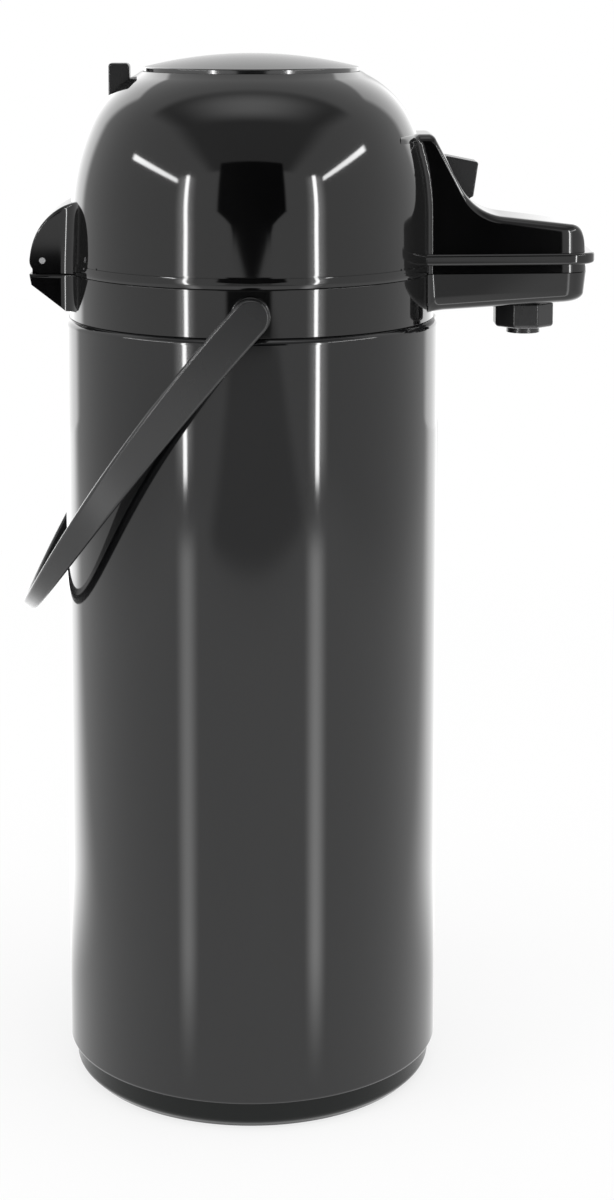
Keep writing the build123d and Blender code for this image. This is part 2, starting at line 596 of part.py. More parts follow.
def collar():
    """Moulded collar with the lower spout, the hinge wedge and knuckle, and the handle bearings."""
    bore = COLLAR_R - COLLAR_WALL
    spigot_r = HEM_IN_R - SEAT
    ring = lathe([(COLLAR_R, SHELL_TOP_Z), (COLLAR_R, COLLAR_TOP_Z), (bore, COLLAR_TOP_Z),
                  (bore, DECK_TOP_Z), (THROAT_R, DECK_TOP_Z), (THROAT_R, LEDGE_TOP_Z),
                  (THROAT_R - THROAT_LEDGE, LEDGE_TOP_Z), (THROAT_R - THROAT_LEDGE, THROAT_BOTTOM_Z),
                  (THROAT_R + DECK, THROAT_BOTTOM_Z), (THROAT_R + DECK, DECK_TOP_Z - DECK),
                  (spigot_r - DECK, DECK_TOP_Z - DECK), (spigot_r - DECK, SHELL_TOP_Z - SPIGOT_DROP),
                  (spigot_r, SHELL_TOP_Z - SPIGOT_DROP), (spigot_r, SHELL_TOP_Z)])
    core = extrude(Pos(0, 0, SHELL_TOP_Z) * Circle(COLLAR_R - SEAT), COLLAR_TOP_Z)
    trough = trough_block() - core
    low_edges = trough.edges().filter_by(lambda e: e.center().Z < TROUGH_NOSE_Z + 1
                                         and e.center().X > COLLAR_R + 3)
    trough = fillet(low_edges, TROUGH_ROUND)
    hollow = trough_block(SPOUT_WALL) - extrude(Pos(0, 0, SHELL_TOP_Z) * Circle(COLLAR_R), COLLAR_TOP_Z)
    hinge = hinge_wedge() - core
    body = ring + trough + hinge - hollow
    stem = block((HINGE_X - KNUCKLE_R + APART, -KNUCKLE_HALF, COLLAR_TOP_Z - 1),
                 (HINGE_X + KNUCKLE_R - APART, KNUCKLE_HALF, HINGE_Z))
    body += stem
    body += rod(KNUCKLE_R - APART, (HINGE_X, -KNUCKLE_HALF, HINGE_Z), (HINGE_X, KNUCKLE_HALF, HINGE_Z))
    body -= rod(HINGE_PIN_R + RUNNING, (HINGE_X, -COLLAR_R, HINGE_Z), (HINGE_X, COLLAR_R, HINGE_Z))
    slot_half = TUBE_R + 1
    body -= block((bore - 2, -slot_half, PIPE_Z - slot_half), (COLLAR_R + 2, slot_half, COLLAR_TOP_Z + 1))
    body -= rod(NOZZLE_TUBE_R + SEAT, (NOZZLE_X, 0, NOZZLE_CAP_Z), (NOZZLE_X, 0, PIPE_Z))
    for side in (-1, 1):
        catch_y = sorted((side * LATCH_LEG_IN, side * LATCH_HUB_HALF))
        body += block((COLLAR_R - COLLAR_WALL, catch_y[0], CATCH_Z),
                      (LATCH_LEG_X - LATCH_NOSE - APART, catch_y[1], CATCH_Z + CATCH_H))
        body += rod(BOSS_R, (0, side * BARB_ROOM_Y, HANDLE_Z), (0, side * (COLLAR_R - 1), HANDLE_Z))
        body += rod(PAD_R, (0, side * (COLLAR_R - 2), HANDLE_Z), (0, side * PAD_END_Y, HANDLE_Z))
        body -= rod(STUD_R + RUNNING, (0, side * STUD_END_Y, HANDLE_Z), (0, side * HANDLE_HALF, HANDLE_Z))
        body -= rod(STUD_R + STUD_BARB + APART, (0, side * (STUD_END_Y - 1), HANDLE_Z),
                    (0, side * BARB_ROOM_Y, HANDLE_Z))
    return body


def tube_holder():
    """Cup in the throat of the collar that holds the dip tube and leads its water to the spout."""
    r = THROAT_R - SEAT
    cup = lathe([(0, LEDGE_TOP_Z), (r, LEDGE_TOP_Z), (r, HOLDER_TOP_Z), (r - HOLDER_WALL, HOLDER_TOP_Z),
                 (r - HOLDER_WALL, LEDGE_TOP_Z + HOLDER_FLOOR), (0, LEDGE_TOP_Z + HOLDER_FLOOR)])
    spigot = tube(HOLDER_SPIGOT_R, HOLDER_SPIGOT_R - HOLDER_WALL, LEDGE_TOP_Z - HOLDER_SPIGOT_DROP,
                  LEDGE_TOP_Z)
    head = rod(SOCKET_R, (0, 0, LEDGE_TOP_Z - SOCKET_DEPTH / 2), (0, 0, PIPE_Z + TUBE_R))
    outlet = rod(TUBE_R, (0, 0, PIPE_Z), (JOINT_START_X + JOINT_LENGTH / 2, 0, PIPE_Z))
    body = cup + spigot + head + outlet
    body -= rod(TUBE_BORE_R, (0, 0, 0), (0, 0, PIPE_Z))
    body -= rod(TUBE_R + SEAT / 2, (0, 0, 0), (0, 0, LEDGE_TOP_Z + SOCKET_DEPTH))
    body -= rod(TUBE_BORE_R, (0, 0, PIPE_Z), (NOZZLE_X, 0, PIPE_Z))
    low, high = LEDGE_TOP_Z - HOLDER_FLOOR, LEDGE_TOP_Z + 2 * HOLDER_FLOOR
    slots = tube(AIR_SLOT_OUT_R, AIR_SLOT_IN_R, low, high)
    spoke = block((-HOLDER_SPOKE / 2, -AIR_SLOT_OUT_R, low), (HOLDER_SPOKE / 2, AIR_SLOT_OUT_R, high))
    return body - (slots - spoke)


def dip_tube():
    """Tube from the holder down to just above the flask's floor, cut slanting at its foot."""
    foot = FLASK_BOTTOM_Z + 2 * GLASS + VACUUM + TUBE_FOOT_GAP
    pipe = tube(TUBE_R, TUBE_BORE_R, foot, LEDGE_TOP_Z + SOCKET_DEPTH - SEAT)
    slant = Pos(0, 0, foot) * Rot(0, TUBE_SLANT, 0) * Pos(0, 0, -TUBE_R * 2)
    slant *= Box(TUBE_R * 10, TUBE_R * 10, TUBE_R * 4)
    return pipe - slant


def pour_pipe():
    """Straight pipe that lies on the collar's deck and in the trough."""
    start = JOINT_START_X + JOINT_LENGTH / 2 + SEAT
    pipe = rod(TUBE_R, (start, 0, PIPE_Z), (NOZZLE_X - NOZZLE_BORE_R, 0, PIPE_Z))
    return pipe - rod(TUBE_BORE_R, (0, 0, PIPE_Z), (NOZZLE_X, 0, PIPE_Z))


def pipe_joint():
    """Rubber sleeve over the ends of the holder's outlet and the pour pipe."""
    start, end = (JOINT_START_X, 0, PIPE_Z), (JOINT_START_X + JOINT_LENGTH, 0, PIPE_Z)
    sleeve = rod(JOINT_R, start, end)
    return sleeve - rod(TUBE_R, start, end)


def outlet_tube():
    """Upright outlet below the end of the pour pipe, with a shoulder on the trough's floor."""
    top = PIPE_Z + TUBE_R + 1.2
    body = rod(NOZZLE_TUBE_R, (NOZZLE_X, 0, NOZZLE_TUBE_Z), (NOZZLE_X, 0, top))
    body -= rod(NOZZLE_BORE_R, (NOZZLE_X, 0, NOZZLE_TUBE_Z - 1), (NOZZLE_X, 0, PIPE_Z + TUBE_BORE_R))
    return body - rod(TUBE_R, (0, 0, PIPE_Z), (NOZZLE_X, 0, PIPE_Z))


def nozzle_cap():
    """Eight-sided cap round the outlet, under the trough."""
    lift = (TROUGH_NOSE_Z - TROUGH_ROOT_Z) / (SPOUT_FRONT_X - SPOUT_ROOT_X)
    top = TROUGH_ROOT_Z + (NOZZLE_X - NOZZLE_CAP_R - SPOUT_ROOT_X) * lift
    outline = Rot(0, 0, 180 / NOZZLE_CAP_SIDES) * RegularPolygon(NOZZLE_CAP_R, NOZZLE_CAP_SIDES)
    body = extrude(Pos(NOZZLE_X, 0, NOZZLE_CAP_Z) * outline, top - NOZZLE_CAP_Z)
    body = chamfer(body.faces().sort_by(Axis.Z)[0].edges(), 0.8)
    return body - rod(NOZZLE_TUBE_R + SEAT / 2, (NOZZLE_X, 0, 0), (NOZZLE_X, 0, COLLAR_TOP_Z))


def lock_window():
    """Sector through the dome's shoulder that the lock tab moves along."""
    tab_angle = degrees(LOCK_TAB_HALF / LOCK_TAB_IN)
    start = 180 - tab_angle - LOCK_WINDOW_MARGIN
    sweep_angle = LOCK_TURN + 2 * (tab_angle + LOCK_WINDOW_MARGIN)
    middle = (LOCK_WINDOW_IN + LOCK_WINDOW_OUT) / 2, (LOCK_Z + BUTTON_TOP_Z) / 2
    face = Pos(*middle) * Rectangle(LOCK_WINDOW_OUT - LOCK_WINDOW_IN, BUTTON_TOP_Z - LOCK_Z)
    return Rot(0, 0, start) * revolve(Plane.XZ * face, Axis.Z, sweep_angle)


def hinge_cover():
    """The lid's half of the hinge housing, two cheeks under one rounded back."""
    arc = TangentArc((HINGE_X - KNUCKLE_R, HINGE_Z), HOUSING_APEX, tangent=(0, 1))
    corner = RadiusArc((HINGE_X, LID_BOTTOM_Z), (HINGE_X - KNUCKLE_R, HINGE_Z), KNUCKLE_R)
    rest = Polyline(HOUSING_APEX, (-COLLAR_R / 2, HOUSING_APEX[1]), (-COLLAR_R / 2, LID_BOTTOM_Z),
                    (HINGE_X, LID_BOTTOM_Z))
    side = make_face([arc, corner, rest])
    column = extrude(Pos(0, 0, LID_BOTTOM_Z) * housing_plan(), HOUSING_APEX[1] - LID_BOTTOM_Z)
    return column & side_slab(side, SHELL_R)


def lid_shell():
    """Moulded lid: dome, lip, upper spout with its flange, hinge cheeks, latch lugs and screw posts."""
    dome = dome_half()
    lip = lathe([(0, LID_BOTTOM_Z), (LIP_R, LID_BOTTOM_Z), (LIP_R, LIP_TOP_Z), (0, LIP_TOP_Z)])
    bead = spout_plan(FLANGE_BEAD)
    flange = extrude(Pos(0, 0, FLANGE_Z) * (bead + Pos(FLANGE_LIP, 0) * bead), FLANGE_H)
    flange -= extrude(Pos(0, 0, FLANGE_Z) * Rectangle(2 * SPOUT_ROOT_X, 2 * SPOUT_FRONT_X), FLANGE_H)
    body = dome + lip + spout_cover_block() + flange + hinge_cover()

    post = rod(POST_R, (POST_PCD_R, 0, LID_FLOOR_Z), (POST_PCD_R, 0, LID_FLOOR_Z + POST_H))
    hollow = dome_half(LID_WALL)
    for i in range(SCREW_COUNT):
        hollow -= Rot(0, 0, (i + 0.5) * 360 / SCREW_COUNT) * post
    body -= hollow
    hole = extrude(Pos(0, 0, DOME_RIM_Z - 2 * LID_WALL) * Circle(BUTTON_R + BUTTON_GAP), 4 * LID_WALL)
    body -= hole

    spout_hollow = spout_cover_block(SPOUT_WALL)
    spout_hollow -= extrude(Pos(0, 0, LID_BOTTOM_Z) * Circle(COLLAR_R), NECK_TOP_Z)
    lug_low, lug_high = LATCH_HUB_HALF + APART, SPOUT_ROOT_HALF
    for side in (-1, 1):
        spout_hollow -= rod(LATCH_HUB_R + 1, (LATCH_X, side * lug_low, LATCH_Z),
                            (LATCH_X, side * lug_high, LATCH_Z))
    body -= spout_hollow
    body -= block((LATCH_RECESS_X, -LATCH_THUMB_HALF - APART, LATCH_Z - THUMB_ROOM),
                  (SPOUT_FRONT_X, LATCH_THUMB_HALF + APART, NECK_TOP_Z - SPOUT_WALL))
    body -= rod(LATCH_PIN_R + RUNNING / 2, (LATCH_X, -LATCH_HUB_HALF - LATCH_LUG, LATCH_Z),
                (LATCH_X, LATCH_HUB_HALF + LATCH_LUG, LATCH_Z))

    knuckle_room = KNUCKLE_HALF + APART
    body -= block((HINGE_X - 2 * KNUCKLE_R, -knuckle_room, LID_BOTTOM_Z - 1),
                  (HINGE_X + KNUCKLE_R + APART, knuckle_room, HINGE_Z + KNUCKLE_R + HOUSING_PASS))
    body -= rod(HINGE_PIN_R + RUNNING / 2, (HINGE_X, -COLLAR_R, HINGE_Z), (HINGE_X, COLLAR_R, HINGE_Z))
    body -= lock_window()
    for i in range(SCREW_COUNT):
        body -= Rot(0, 0, (i + 0.5) * 360 / SCREW_COUNT) * rod(
            SCREW_R + RUNNING, (POST_PCD_R, 0, LID_FLOOR_Z), (POST_PCD_R, 0, LID_FLOOR_Z + SCREW_LENGTH))
    return body


def hinge_pin():
    """Steel pin through the knuckle and both cheeks."""
    half = HOUSING_HALF - HINGE_PIN_SHORT
    return rod(HINGE_PIN_R, (HINGE_X, -half, HINGE_Z), (HINGE_X, half, HINGE_Z))


def lid_base():
    """Floor of the lid, with the bellows seat, the air port and the screw holes."""
    r = COLLAR_R - LID_WALL - SEAT
    seat_in = BELLOWS_R + SEAT
    body = lathe([(PORT_R, LID_BASE_Z), (r, LID_BASE_Z), (r, LID_FLOOR_Z),
                  (seat_in + BELLOWS_SEAT_WALL, LID_FLOOR_Z),
                  (seat_in + BELLOWS_SEAT_WALL, LID_FLOOR_Z + BELLOWS_SEAT_H),
                  (seat_in, LID_FLOOR_Z + BELLOWS_SEAT_H), (seat_in, LID_FLOOR_Z), (PORT_R, LID_FLOOR_Z)])
    for i in range(SCREW_COUNT):
        body -= Rot(0, 0, (i + 0.5) * 360 / SCREW_COUNT) * rod(
            SCREW_R + RUNNING, (POST_PCD_R, 0, LID_BASE_Z), (POST_PCD_R, 0, LID_FLOOR_Z))
    return body


def inner_lid():
    """Disc under the lid's floor that carries the gasket and the air valve."""
    body = lathe([(0, LID_BASE_Z - INNER_LID), (INNER_LID_R, LID_BASE_Z - INNER_LID),
                  (INNER_LID_R, LID_BASE_Z), (0, LID_BASE_Z)])
    body -= rod(VALVE_STEM_R + RUNNING, (0, 0, LID_BASE_Z - INNER_LID), (0, 0, LID_BASE_Z))
    for i in range(VALVE_PORT_COUNT):
        place = Rot(0, 0, i * 360 / VALVE_PORT_COUNT)
        body -= place * rod(VALVE_PORT_R, (VALVE_PORT_PCD_R, 0, LID_BASE_Z - INNER_LID),
                            (VALVE_PORT_PCD_R, 0, LID_BASE_Z))
    return body


def lid_gasket():
    """Silicone ring with a sealing lip that meets the rim of the tube holder."""
    low, high = HOLDER_TOP_Z + APART, LID_BASE_Z - INNER_LID
    inside = LID_GASKET_R - LID_GASKET_WIDTH
    third = LID_GASKET_WIDTH / 3
    return lathe([(inside + third, low), (LID_GASKET_R - third, low), (LID_GASKET_R, high - 1),
                  (LID_GASKET_R, high), (inside, high), (inside, high - 1)])


def air_valve():
    """Umbrella valve that lets pumped air into the flask and not back."""
    seat = LID_BASE_Z - INNER_LID
    stem_top = LID_BASE_Z + 1.2
    return lathe([(0, seat - VALVE), (VALVE_R * 0.4, seat - VALVE), (VALVE_R, seat - VALVE * 0.4),
                  (VALVE_R, seat), (VALVE_STEM_R, seat), (VALVE_STEM_R, LID_BASE_Z),
                  (VALVE_STEM_R + 0.5, LID_BASE_Z + 0.2), (VALVE_STEM_R * 0.5, stem_top), (0, stem_top)])


def lid_screws():
    """Screws from below through the lid's floor into the posts."""
    head = rod(SCREW_HEAD_R, (POST_PCD_R, 0, LID_BASE_Z - SCREW_HEAD), (POST_PCD_R, 0, LID_BASE_Z))
    shank = rod(SCREW_R, (POST_PCD_R, 0, LID_BASE_Z), (POST_PCD_R, 0, LID_FLOOR_Z + SCREW_LENGTH - 1))
    slot = block((POST_PCD_R - 2, -0.4, LID_BASE_Z - SCREW_HEAD), (POST_PCD_R + 2, 0.4, LID_BASE_Z - 1))
    screw = head + shank - slot
    return Compound(children=[Rot(0, 0, (i + 0.5) * 360 / SCREW_COUNT) * screw for i in range(SCREW_COUNT)])


def guide_sleeve():
    """Sleeve that guides the push button, with the ledge that the lock ring turns on."""
    return lathe([(GUIDE_R, LID_FLOOR_Z), (SLEEVE_R, LID_FLOOR_Z), (SLEEVE_R, SLEEVE_LEDGE_Z),
                  (SLEEVE_LEDGE_R, SLEEVE_LEDGE_Z), (SLEEVE_LEDGE_R, SLEEVE_LEDGE_Z + SLEEVE_LEDGE),
                  (SLEEVE_R, SLEEVE_LEDGE_Z + SLEEVE_LEDGE), (SLEEVE_R, SLEEVE_TOP_Z),
                  (GUIDE_R, SLEEVE_TOP_Z)])


def push_button():
    """Crowned button with a skirt, a middle post and ribs under the crown."""
    edge = (BUTTON_R, BUTTON_EDGE_Z)
    crown = TangentArc((0, BUTTON_TOP_Z), edge, tangent=(1, 0))
    rest = Polyline(edge, (BUTTON_R, BUTTON_SKIRT_Z), (0, BUTTON_SKIRT_Z), (0, BUTTON_TOP_Z))
    outline = make_face([crown, rest])
    outline = fillet(outline.vertices().sort_by_distance((*edge, 0))[0], BUTTON_EDGE_ROUND)
    body = revolve(Plane.XZ * outline, Axis.Z)
    hollow = lathe([(0, PLATE_Z), (BUTTON_R - BUTTON_WALL, PLATE_Z),
                    (BUTTON_R - BUTTON_WALL, BUTTON_EDGE_Z - BUTTON_WALL), (0, BUTTON_EDGE_Z - 1)])
    post_low = PLATE_Z + PLATE
    rib_low = BUTTON_SKIRT_Z + BUTTON_RIB_LIFT
    for i in range(BUTTON_RIB_COUNT):
        rib = block((0, -BUTTON_RIB / 2, rib_low), (BUTTON_R, BUTTON_RIB / 2, BUTTON_TOP_Z))
        hollow -= Rot(0, 0, i * 360 / BUTTON_RIB_COUNT) * rib
    body -= hollow
    return body + rod(BUTTON_POST_R, (0, 0, post_low), (0, 0, BUTTON_EDGE_Z))


def pump_plate():
    """Plate on the foot of the button's post that presses the bellows."""
    top = PLATE_Z + PLATE
    return lathe([(0, PLATE_Z), (PLATE_R, PLATE_Z), (PLATE_R, top + PLATE_LIP_H),
                  (PLATE_R - PLATE_LIP, top + PLATE_LIP_H), (PLATE_R - PLATE_LIP, top), (0, top)])


def bellows():
    """Folded air bellows between the lid's floor and the pump plate."""
    pitch = (PLATE_Z - LID_FLOOR_Z) / BELLOWS_FOLDS
    folds = []
    for i in range(BELLOWS_FOLDS):
        z = LID_FLOOR_Z + i * pitch
        folds += [(BELLOWS_R, z), (BELLOWS_R, z + pitch / 4), (BELLOWS_R - BELLOWS_FOLD, z + pitch * 5 / 8)]
    folds.append((BELLOWS_R, PLATE_Z))
    return lathe(folds + [(r - 2 * BELLOWS_WALL, z) for r, z in folds[::-1]])


def return_spring():
    """Coil spring inside the bellows that lifts the button."""
    return spiral(SPRING_R, SPRING_WIRE_R, SPRING_TURNS, LID_FLOOR_Z, PLATE_Z)


def lock_ring():
    """Ring that turns round the sleeve, with the tab that stands out of the dome."""
    body = tube(LOCK_R, SLEEVE_R + APART, LOCK_Z, LOCK_Z + LOCK_H)
    arm = block((-LOCK_TAB_OUT, -LOCK_TAB_HALF, LOCK_Z), (-LOCK_R + 2, LOCK_TAB_HALF, LOCK_Z + LOCK_H))
    tab = block((-LOCK_TAB_OUT, -LOCK_TAB_HALF, LOCK_Z), (-LOCK_TAB_IN, LOCK_TAB_HALF, LOCK_TAB_TOP_Z))
    tab = fillet(tab.edges().filter_by(lambda e: e.center().Z > LOCK_TAB_TOP_Z - 0.1), LOCK_TAB_ROUND)
    return body + arm + tab


def latch_lever():
    """Thumb wedge, hub and two hooked legs that reach down to the collar."""
    thumb = make_face(Polyline(*THUMB, close=True))
    body = side_slab(Pos(LATCH_X, LATCH_Z) * thumb, LATCH_THUMB_HALF)
    body += rod(LATCH_HUB_R, (LATCH_X, -LATCH_THUMB_HALF, LATCH_Z), (LATCH_X, LATCH_THUMB_HALF, LATCH_Z))
    body += rod(LATCH_NECK_R, (LATCH_X, -LATCH_HUB_HALF, LATCH_Z), (LATCH_X, LATCH_HUB_HALF, LATCH_Z))
    for side in (-1, 1):
        low, high = sorted((side * LATCH_LEG_IN, side * LATCH_HUB_HALF))
        body += rod(LATCH_HUB_R, (LATCH_X, low, LATCH_Z), (LATCH_X, high, LATCH_Z))
        body += block((LATCH_LEG_X, low, LATCH_HOOK_Z), (LATCH_LEG_X + LATCH_LEG, high, LATCH_Z))
        body += block((LATCH_LEG_X - LATCH_NOSE, low, LATCH_HOOK_Z),
                      (LATCH_LEG_X, high, LATCH_HOOK_Z + LATCH_HOOK_H))
    end = 2 * LATCH_HUB_HALF
    return body - rod(LATCH_PIN_R + RUNNING, (LATCH_X, -end, LATCH_Z), (LATCH_X, end, LATCH_Z))


def latch_spring():
    """Torsion coil round the neck of the latch hub, between the thumb and one leg."""
    coil = spiral(LATCH_SPRING_R, LATCH_SPRING_WIRE_R, LATCH_SPRING_TURNS,
                  LATCH_THUMB_HALF + SEAT, LATCH_LEG_IN - SEAT)
    return Pos(LATCH_X, 0, LATCH_Z) * Rot(-90, 0, 0) * coil


def latch_pin():
    """Pin through the latch hub into the lugs of the lid."""
    half = LATCH_HUB_HALF + LATCH_LUG
    return rod(LATCH_PIN_R, (LATCH_X, -half, LATCH_Z), (LATCH_X, half, LATCH_Z))


def bail_handle():
    """Bowed strap in a half ellipse, with eyes and studs at its ends, hanging at its rest angle."""
    ring = Ellipse(HANDLE_REACH + STRAP / 2, HANDLE_HALF + STRAP / 2)
    ring -= Ellipse(HANDLE_REACH - STRAP / 2, HANDLE_HALF - STRAP / 2)
    end = HANDLE_REACH + STRAP
    ring &= Pos(end / 2, 0) * Rectangle(end, 2 * end)
    band = extrude(ring, 2 * STRAP_MID_TOP, both=True)
    upper = ThreePointArc((0, STRAP_EYE_R), (HANDLE_REACH / 2, STRAP_MID_TOP), (end, STRAP_END_HALF))
    lower = ThreePointArc((end, -STRAP_END_HALF), (HANDLE_REACH / 2, STRAP_MID_BOTTOM), (0, -STRAP_EYE_R))
    side = make_face([upper, Line((end, STRAP_END_HALF), (end, -STRAP_END_HALF)), lower,
                      Line((0, -STRAP_EYE_R), (0, STRAP_EYE_R))])
    body = band & side_slab(side, HANDLE_HALF + STRAP)
    for s in (-1, 1):
        face_in, face_out = s * (HANDLE_HALF - STRAP / 2), s * (HANDLE_HALF + STRAP / 2)
        body += rod(STRAP_EYE_R, (0, face_in, 0), (0, face_out, 0))
        body += rod(STUD_R, (0, s * STUD_END_Y, 0), (0, face_in + s, 0))
        body += rod(STUD_R + STUD_BARB, (0, s * STUD_END_Y, 0), (0, s * (STUD_END_Y + STUD_BARB_LENGTH), 0))
    return Pos(0, 0, HANDLE_Z) * Rot(0, 180 - HANDLE_HANG, 0) * Rot(180, 0, 0) * body


PIECES = {
    "outer_shell": outer_shell,
    "base_ring": base_ring,
    "bottom_cap": bottom_cap,
    "flask_cushion": flask_cushion,
    "glass_flask": glass_flask,
    "neck_gasket": neck_gasket,
    "collar": collar,
    "tube_holder": tube_holder,
    "dip_tube": dip_tube,
    "pour_pipe": pour_pipe,
    "pipe_joint": pipe_joint,
    "outlet_tube": outlet_tube,
    "nozzle_cap": nozzle_cap,
    "lid_shell": lid_shell,
    "hinge_pin": hinge_pin,
    "lid_base": lid_base,
    "inner_lid": inner_lid,
    "lid_gasket": lid_gasket,
    "air_valve": air_valve,
    "lid_screws": lid_screws,
    "guide_sleeve": guide_sleeve,
    "bellows": bellows,
    "return_spring": return_spring,
    "push_button": push_button,
    "pump_plate": pump_plate,
    "lock_ring": lock_ring,
    "latch_lever": latch_lever,
    "latch_pin": latch_pin,
    "latch_spring": latch_spring,
    "bail_handle": bail_handle,
}

os.makedirs("parts", exist_ok=True)
for name, make in PIECES.items():
    export_step(make(), f"parts/{name}.step")
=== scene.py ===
"""Push-button airpot with a hinged pump lid, a side spout and a bail handle, in a plain studio."""
import logging
import math
from bisect import bisect_right
from dataclasses import dataclass, field
from enum import Enum
from typing import Callable, Sequence

import bmesh
import bpy
from mathutils import Matrix, Vector


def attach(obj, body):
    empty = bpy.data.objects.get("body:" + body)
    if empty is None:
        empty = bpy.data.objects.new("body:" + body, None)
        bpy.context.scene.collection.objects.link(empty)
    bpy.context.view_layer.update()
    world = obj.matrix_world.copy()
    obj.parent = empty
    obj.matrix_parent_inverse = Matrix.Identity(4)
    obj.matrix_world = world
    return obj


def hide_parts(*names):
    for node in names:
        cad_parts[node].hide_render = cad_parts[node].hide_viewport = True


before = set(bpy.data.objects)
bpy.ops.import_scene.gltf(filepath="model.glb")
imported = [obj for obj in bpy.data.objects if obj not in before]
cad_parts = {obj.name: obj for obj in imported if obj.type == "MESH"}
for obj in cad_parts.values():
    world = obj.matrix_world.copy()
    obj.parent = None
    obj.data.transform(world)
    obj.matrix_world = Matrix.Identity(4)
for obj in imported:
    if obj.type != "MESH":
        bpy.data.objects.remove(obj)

log = logging.getLogger("airpot")
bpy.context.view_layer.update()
MM: float = 0.001
WELD: float = 0.0008 * MM

Flat = tuple[float, float]
Corner = tuple[float, float, float]
Point = tuple[float, float, float]


class Body(Enum):
    """The rigid bodies of the frame."""

    POT = "body"
    LID = "lid"
    BUTTON = "button"
    LOCK = "lock"
    LATCH = "latch"
    HANDLE = "handle"


# Outlines


def rounded(corners: Sequence[Corner], step: float = 12.0, closed: bool = True) -> list[Flat]:
    """Rounds the corners of an outline.

    Args:
        corners: Points as (x, y, radius), in millimetres.
        step: Largest turn between two points of a round, in degrees.
        closed: Whether the outline closes on its first point.

    Returns:
        The points of the rounded outline.
    """
    points: list[Flat] = []
    count = len(corners)
    for i, (x, y, radius) in enumerate(corners):
        here = Vector((x, y))
        if radius <= 0 or (not closed and i in (0, count - 1)):
            points.append((x, y))
            continue
        back = (Vector(corners[i - 1][:2]) - here).normalized()
        ahead = (Vector(corners[(i + 1) % count][:2]) - here).normalized()
        half = math.acos(max(-1.0, min(1.0, back.dot(ahead)))) / 2
        middle = here + (back + ahead).normalized() * (radius / math.sin(half))
        first = here + back * (radius / math.tan(half)) - middle
        last = here + ahead * (radius / math.tan(half)) - middle
        turn = first.angle_signed(last)
        parts = max(2, math.ceil(abs(math.degrees(turn)) / step))
        start = math.atan2(first.y, first.x)
        for k in range(parts + 1):
            angle = start - turn * k / parts
            points.append((middle.x + radius * math.cos(angle), middle.y + radius * math.sin(angle)))
    return points


def arc_to(start: Flat, heading: Flat, end: Flat, parts: int) -> tuple[list[Flat], Flat]:
    """Draws an arc that leaves a point along a heading.

    Args:
        start: Where the arc starts.
        heading: Direction in which it leaves.
        end: Where it ends.
        parts: Number of steps.

    Returns:
        The points after the start, and the heading at the end.
    """
    a, b, way = Vector(start), Vector(end), Vector(heading).normalized()
    chord = b - a
    turn = 2 * math.atan2(way.x * chord.y - way.y * chord.x, way.dot(chord))
    radius = chord.length / (2 * math.sin(turn / 2))
    middle = a + Vector((-way.y, way.x)) * radius
    arm = a - middle
    points = []
    for k in range(1, parts + 1):
        angle = turn * k / parts
        c, s = math.cos(angle), math.sin(angle)
        points.append((middle.x + arm.x * c - arm.y * s, middle.y + arm.x * s + arm.y * c))
    c, s = math.cos(turn), math.sin(turn)
    return points, (way.x * c - way.y * s, way.x * s + way.y * c)


def offset(points: Sequence[Flat], distance: float) -> list[Flat]:
    """Moves an open line sideways, to its left for a positive distance.

    Args:
        points: The line.
        distance: How far to move it.

    Returns:
        The moved line.
    """
    moved: list[Flat] = []
    for i, here in enumerate(points):
        a, b = points[max(i - 1, 0)], points[min(i + 1, len(points) - 1)]
        run = Vector((b[0] - a[0], b[1] - a[1])).normalized()
        moved.append((here[0] - run.y * distance, here[1] + run.x * distance))
    return moved


@dataclass
class Curve:
    """A height, width or radius that is read off a drawn line."""

    points: Sequence[Flat]

    def __post_init__(self) -> None:
        """Puts the points in order."""
        self.points = sorted(self.points)
        self.keys = [p[0] for p in self.points]

    def at(self, x: float) -> float:
        """Reads the line at x, held level past its ends.

        Args:
            x: Where to read it.

        Returns:
            The value there.
        """
        i = bisect_right(self.keys, x)
        if i == 0:
            return self.points[0][1]
        if i == len(self.points):
            return self.points[-1][1]
        (xa, ya), (xb, yb) = self.points[i - 1], self.points[i]
        return yb if xb - xa < 1e-9 else ya + (yb - ya) * (x - xa) / (xb - xa)


# Modelling


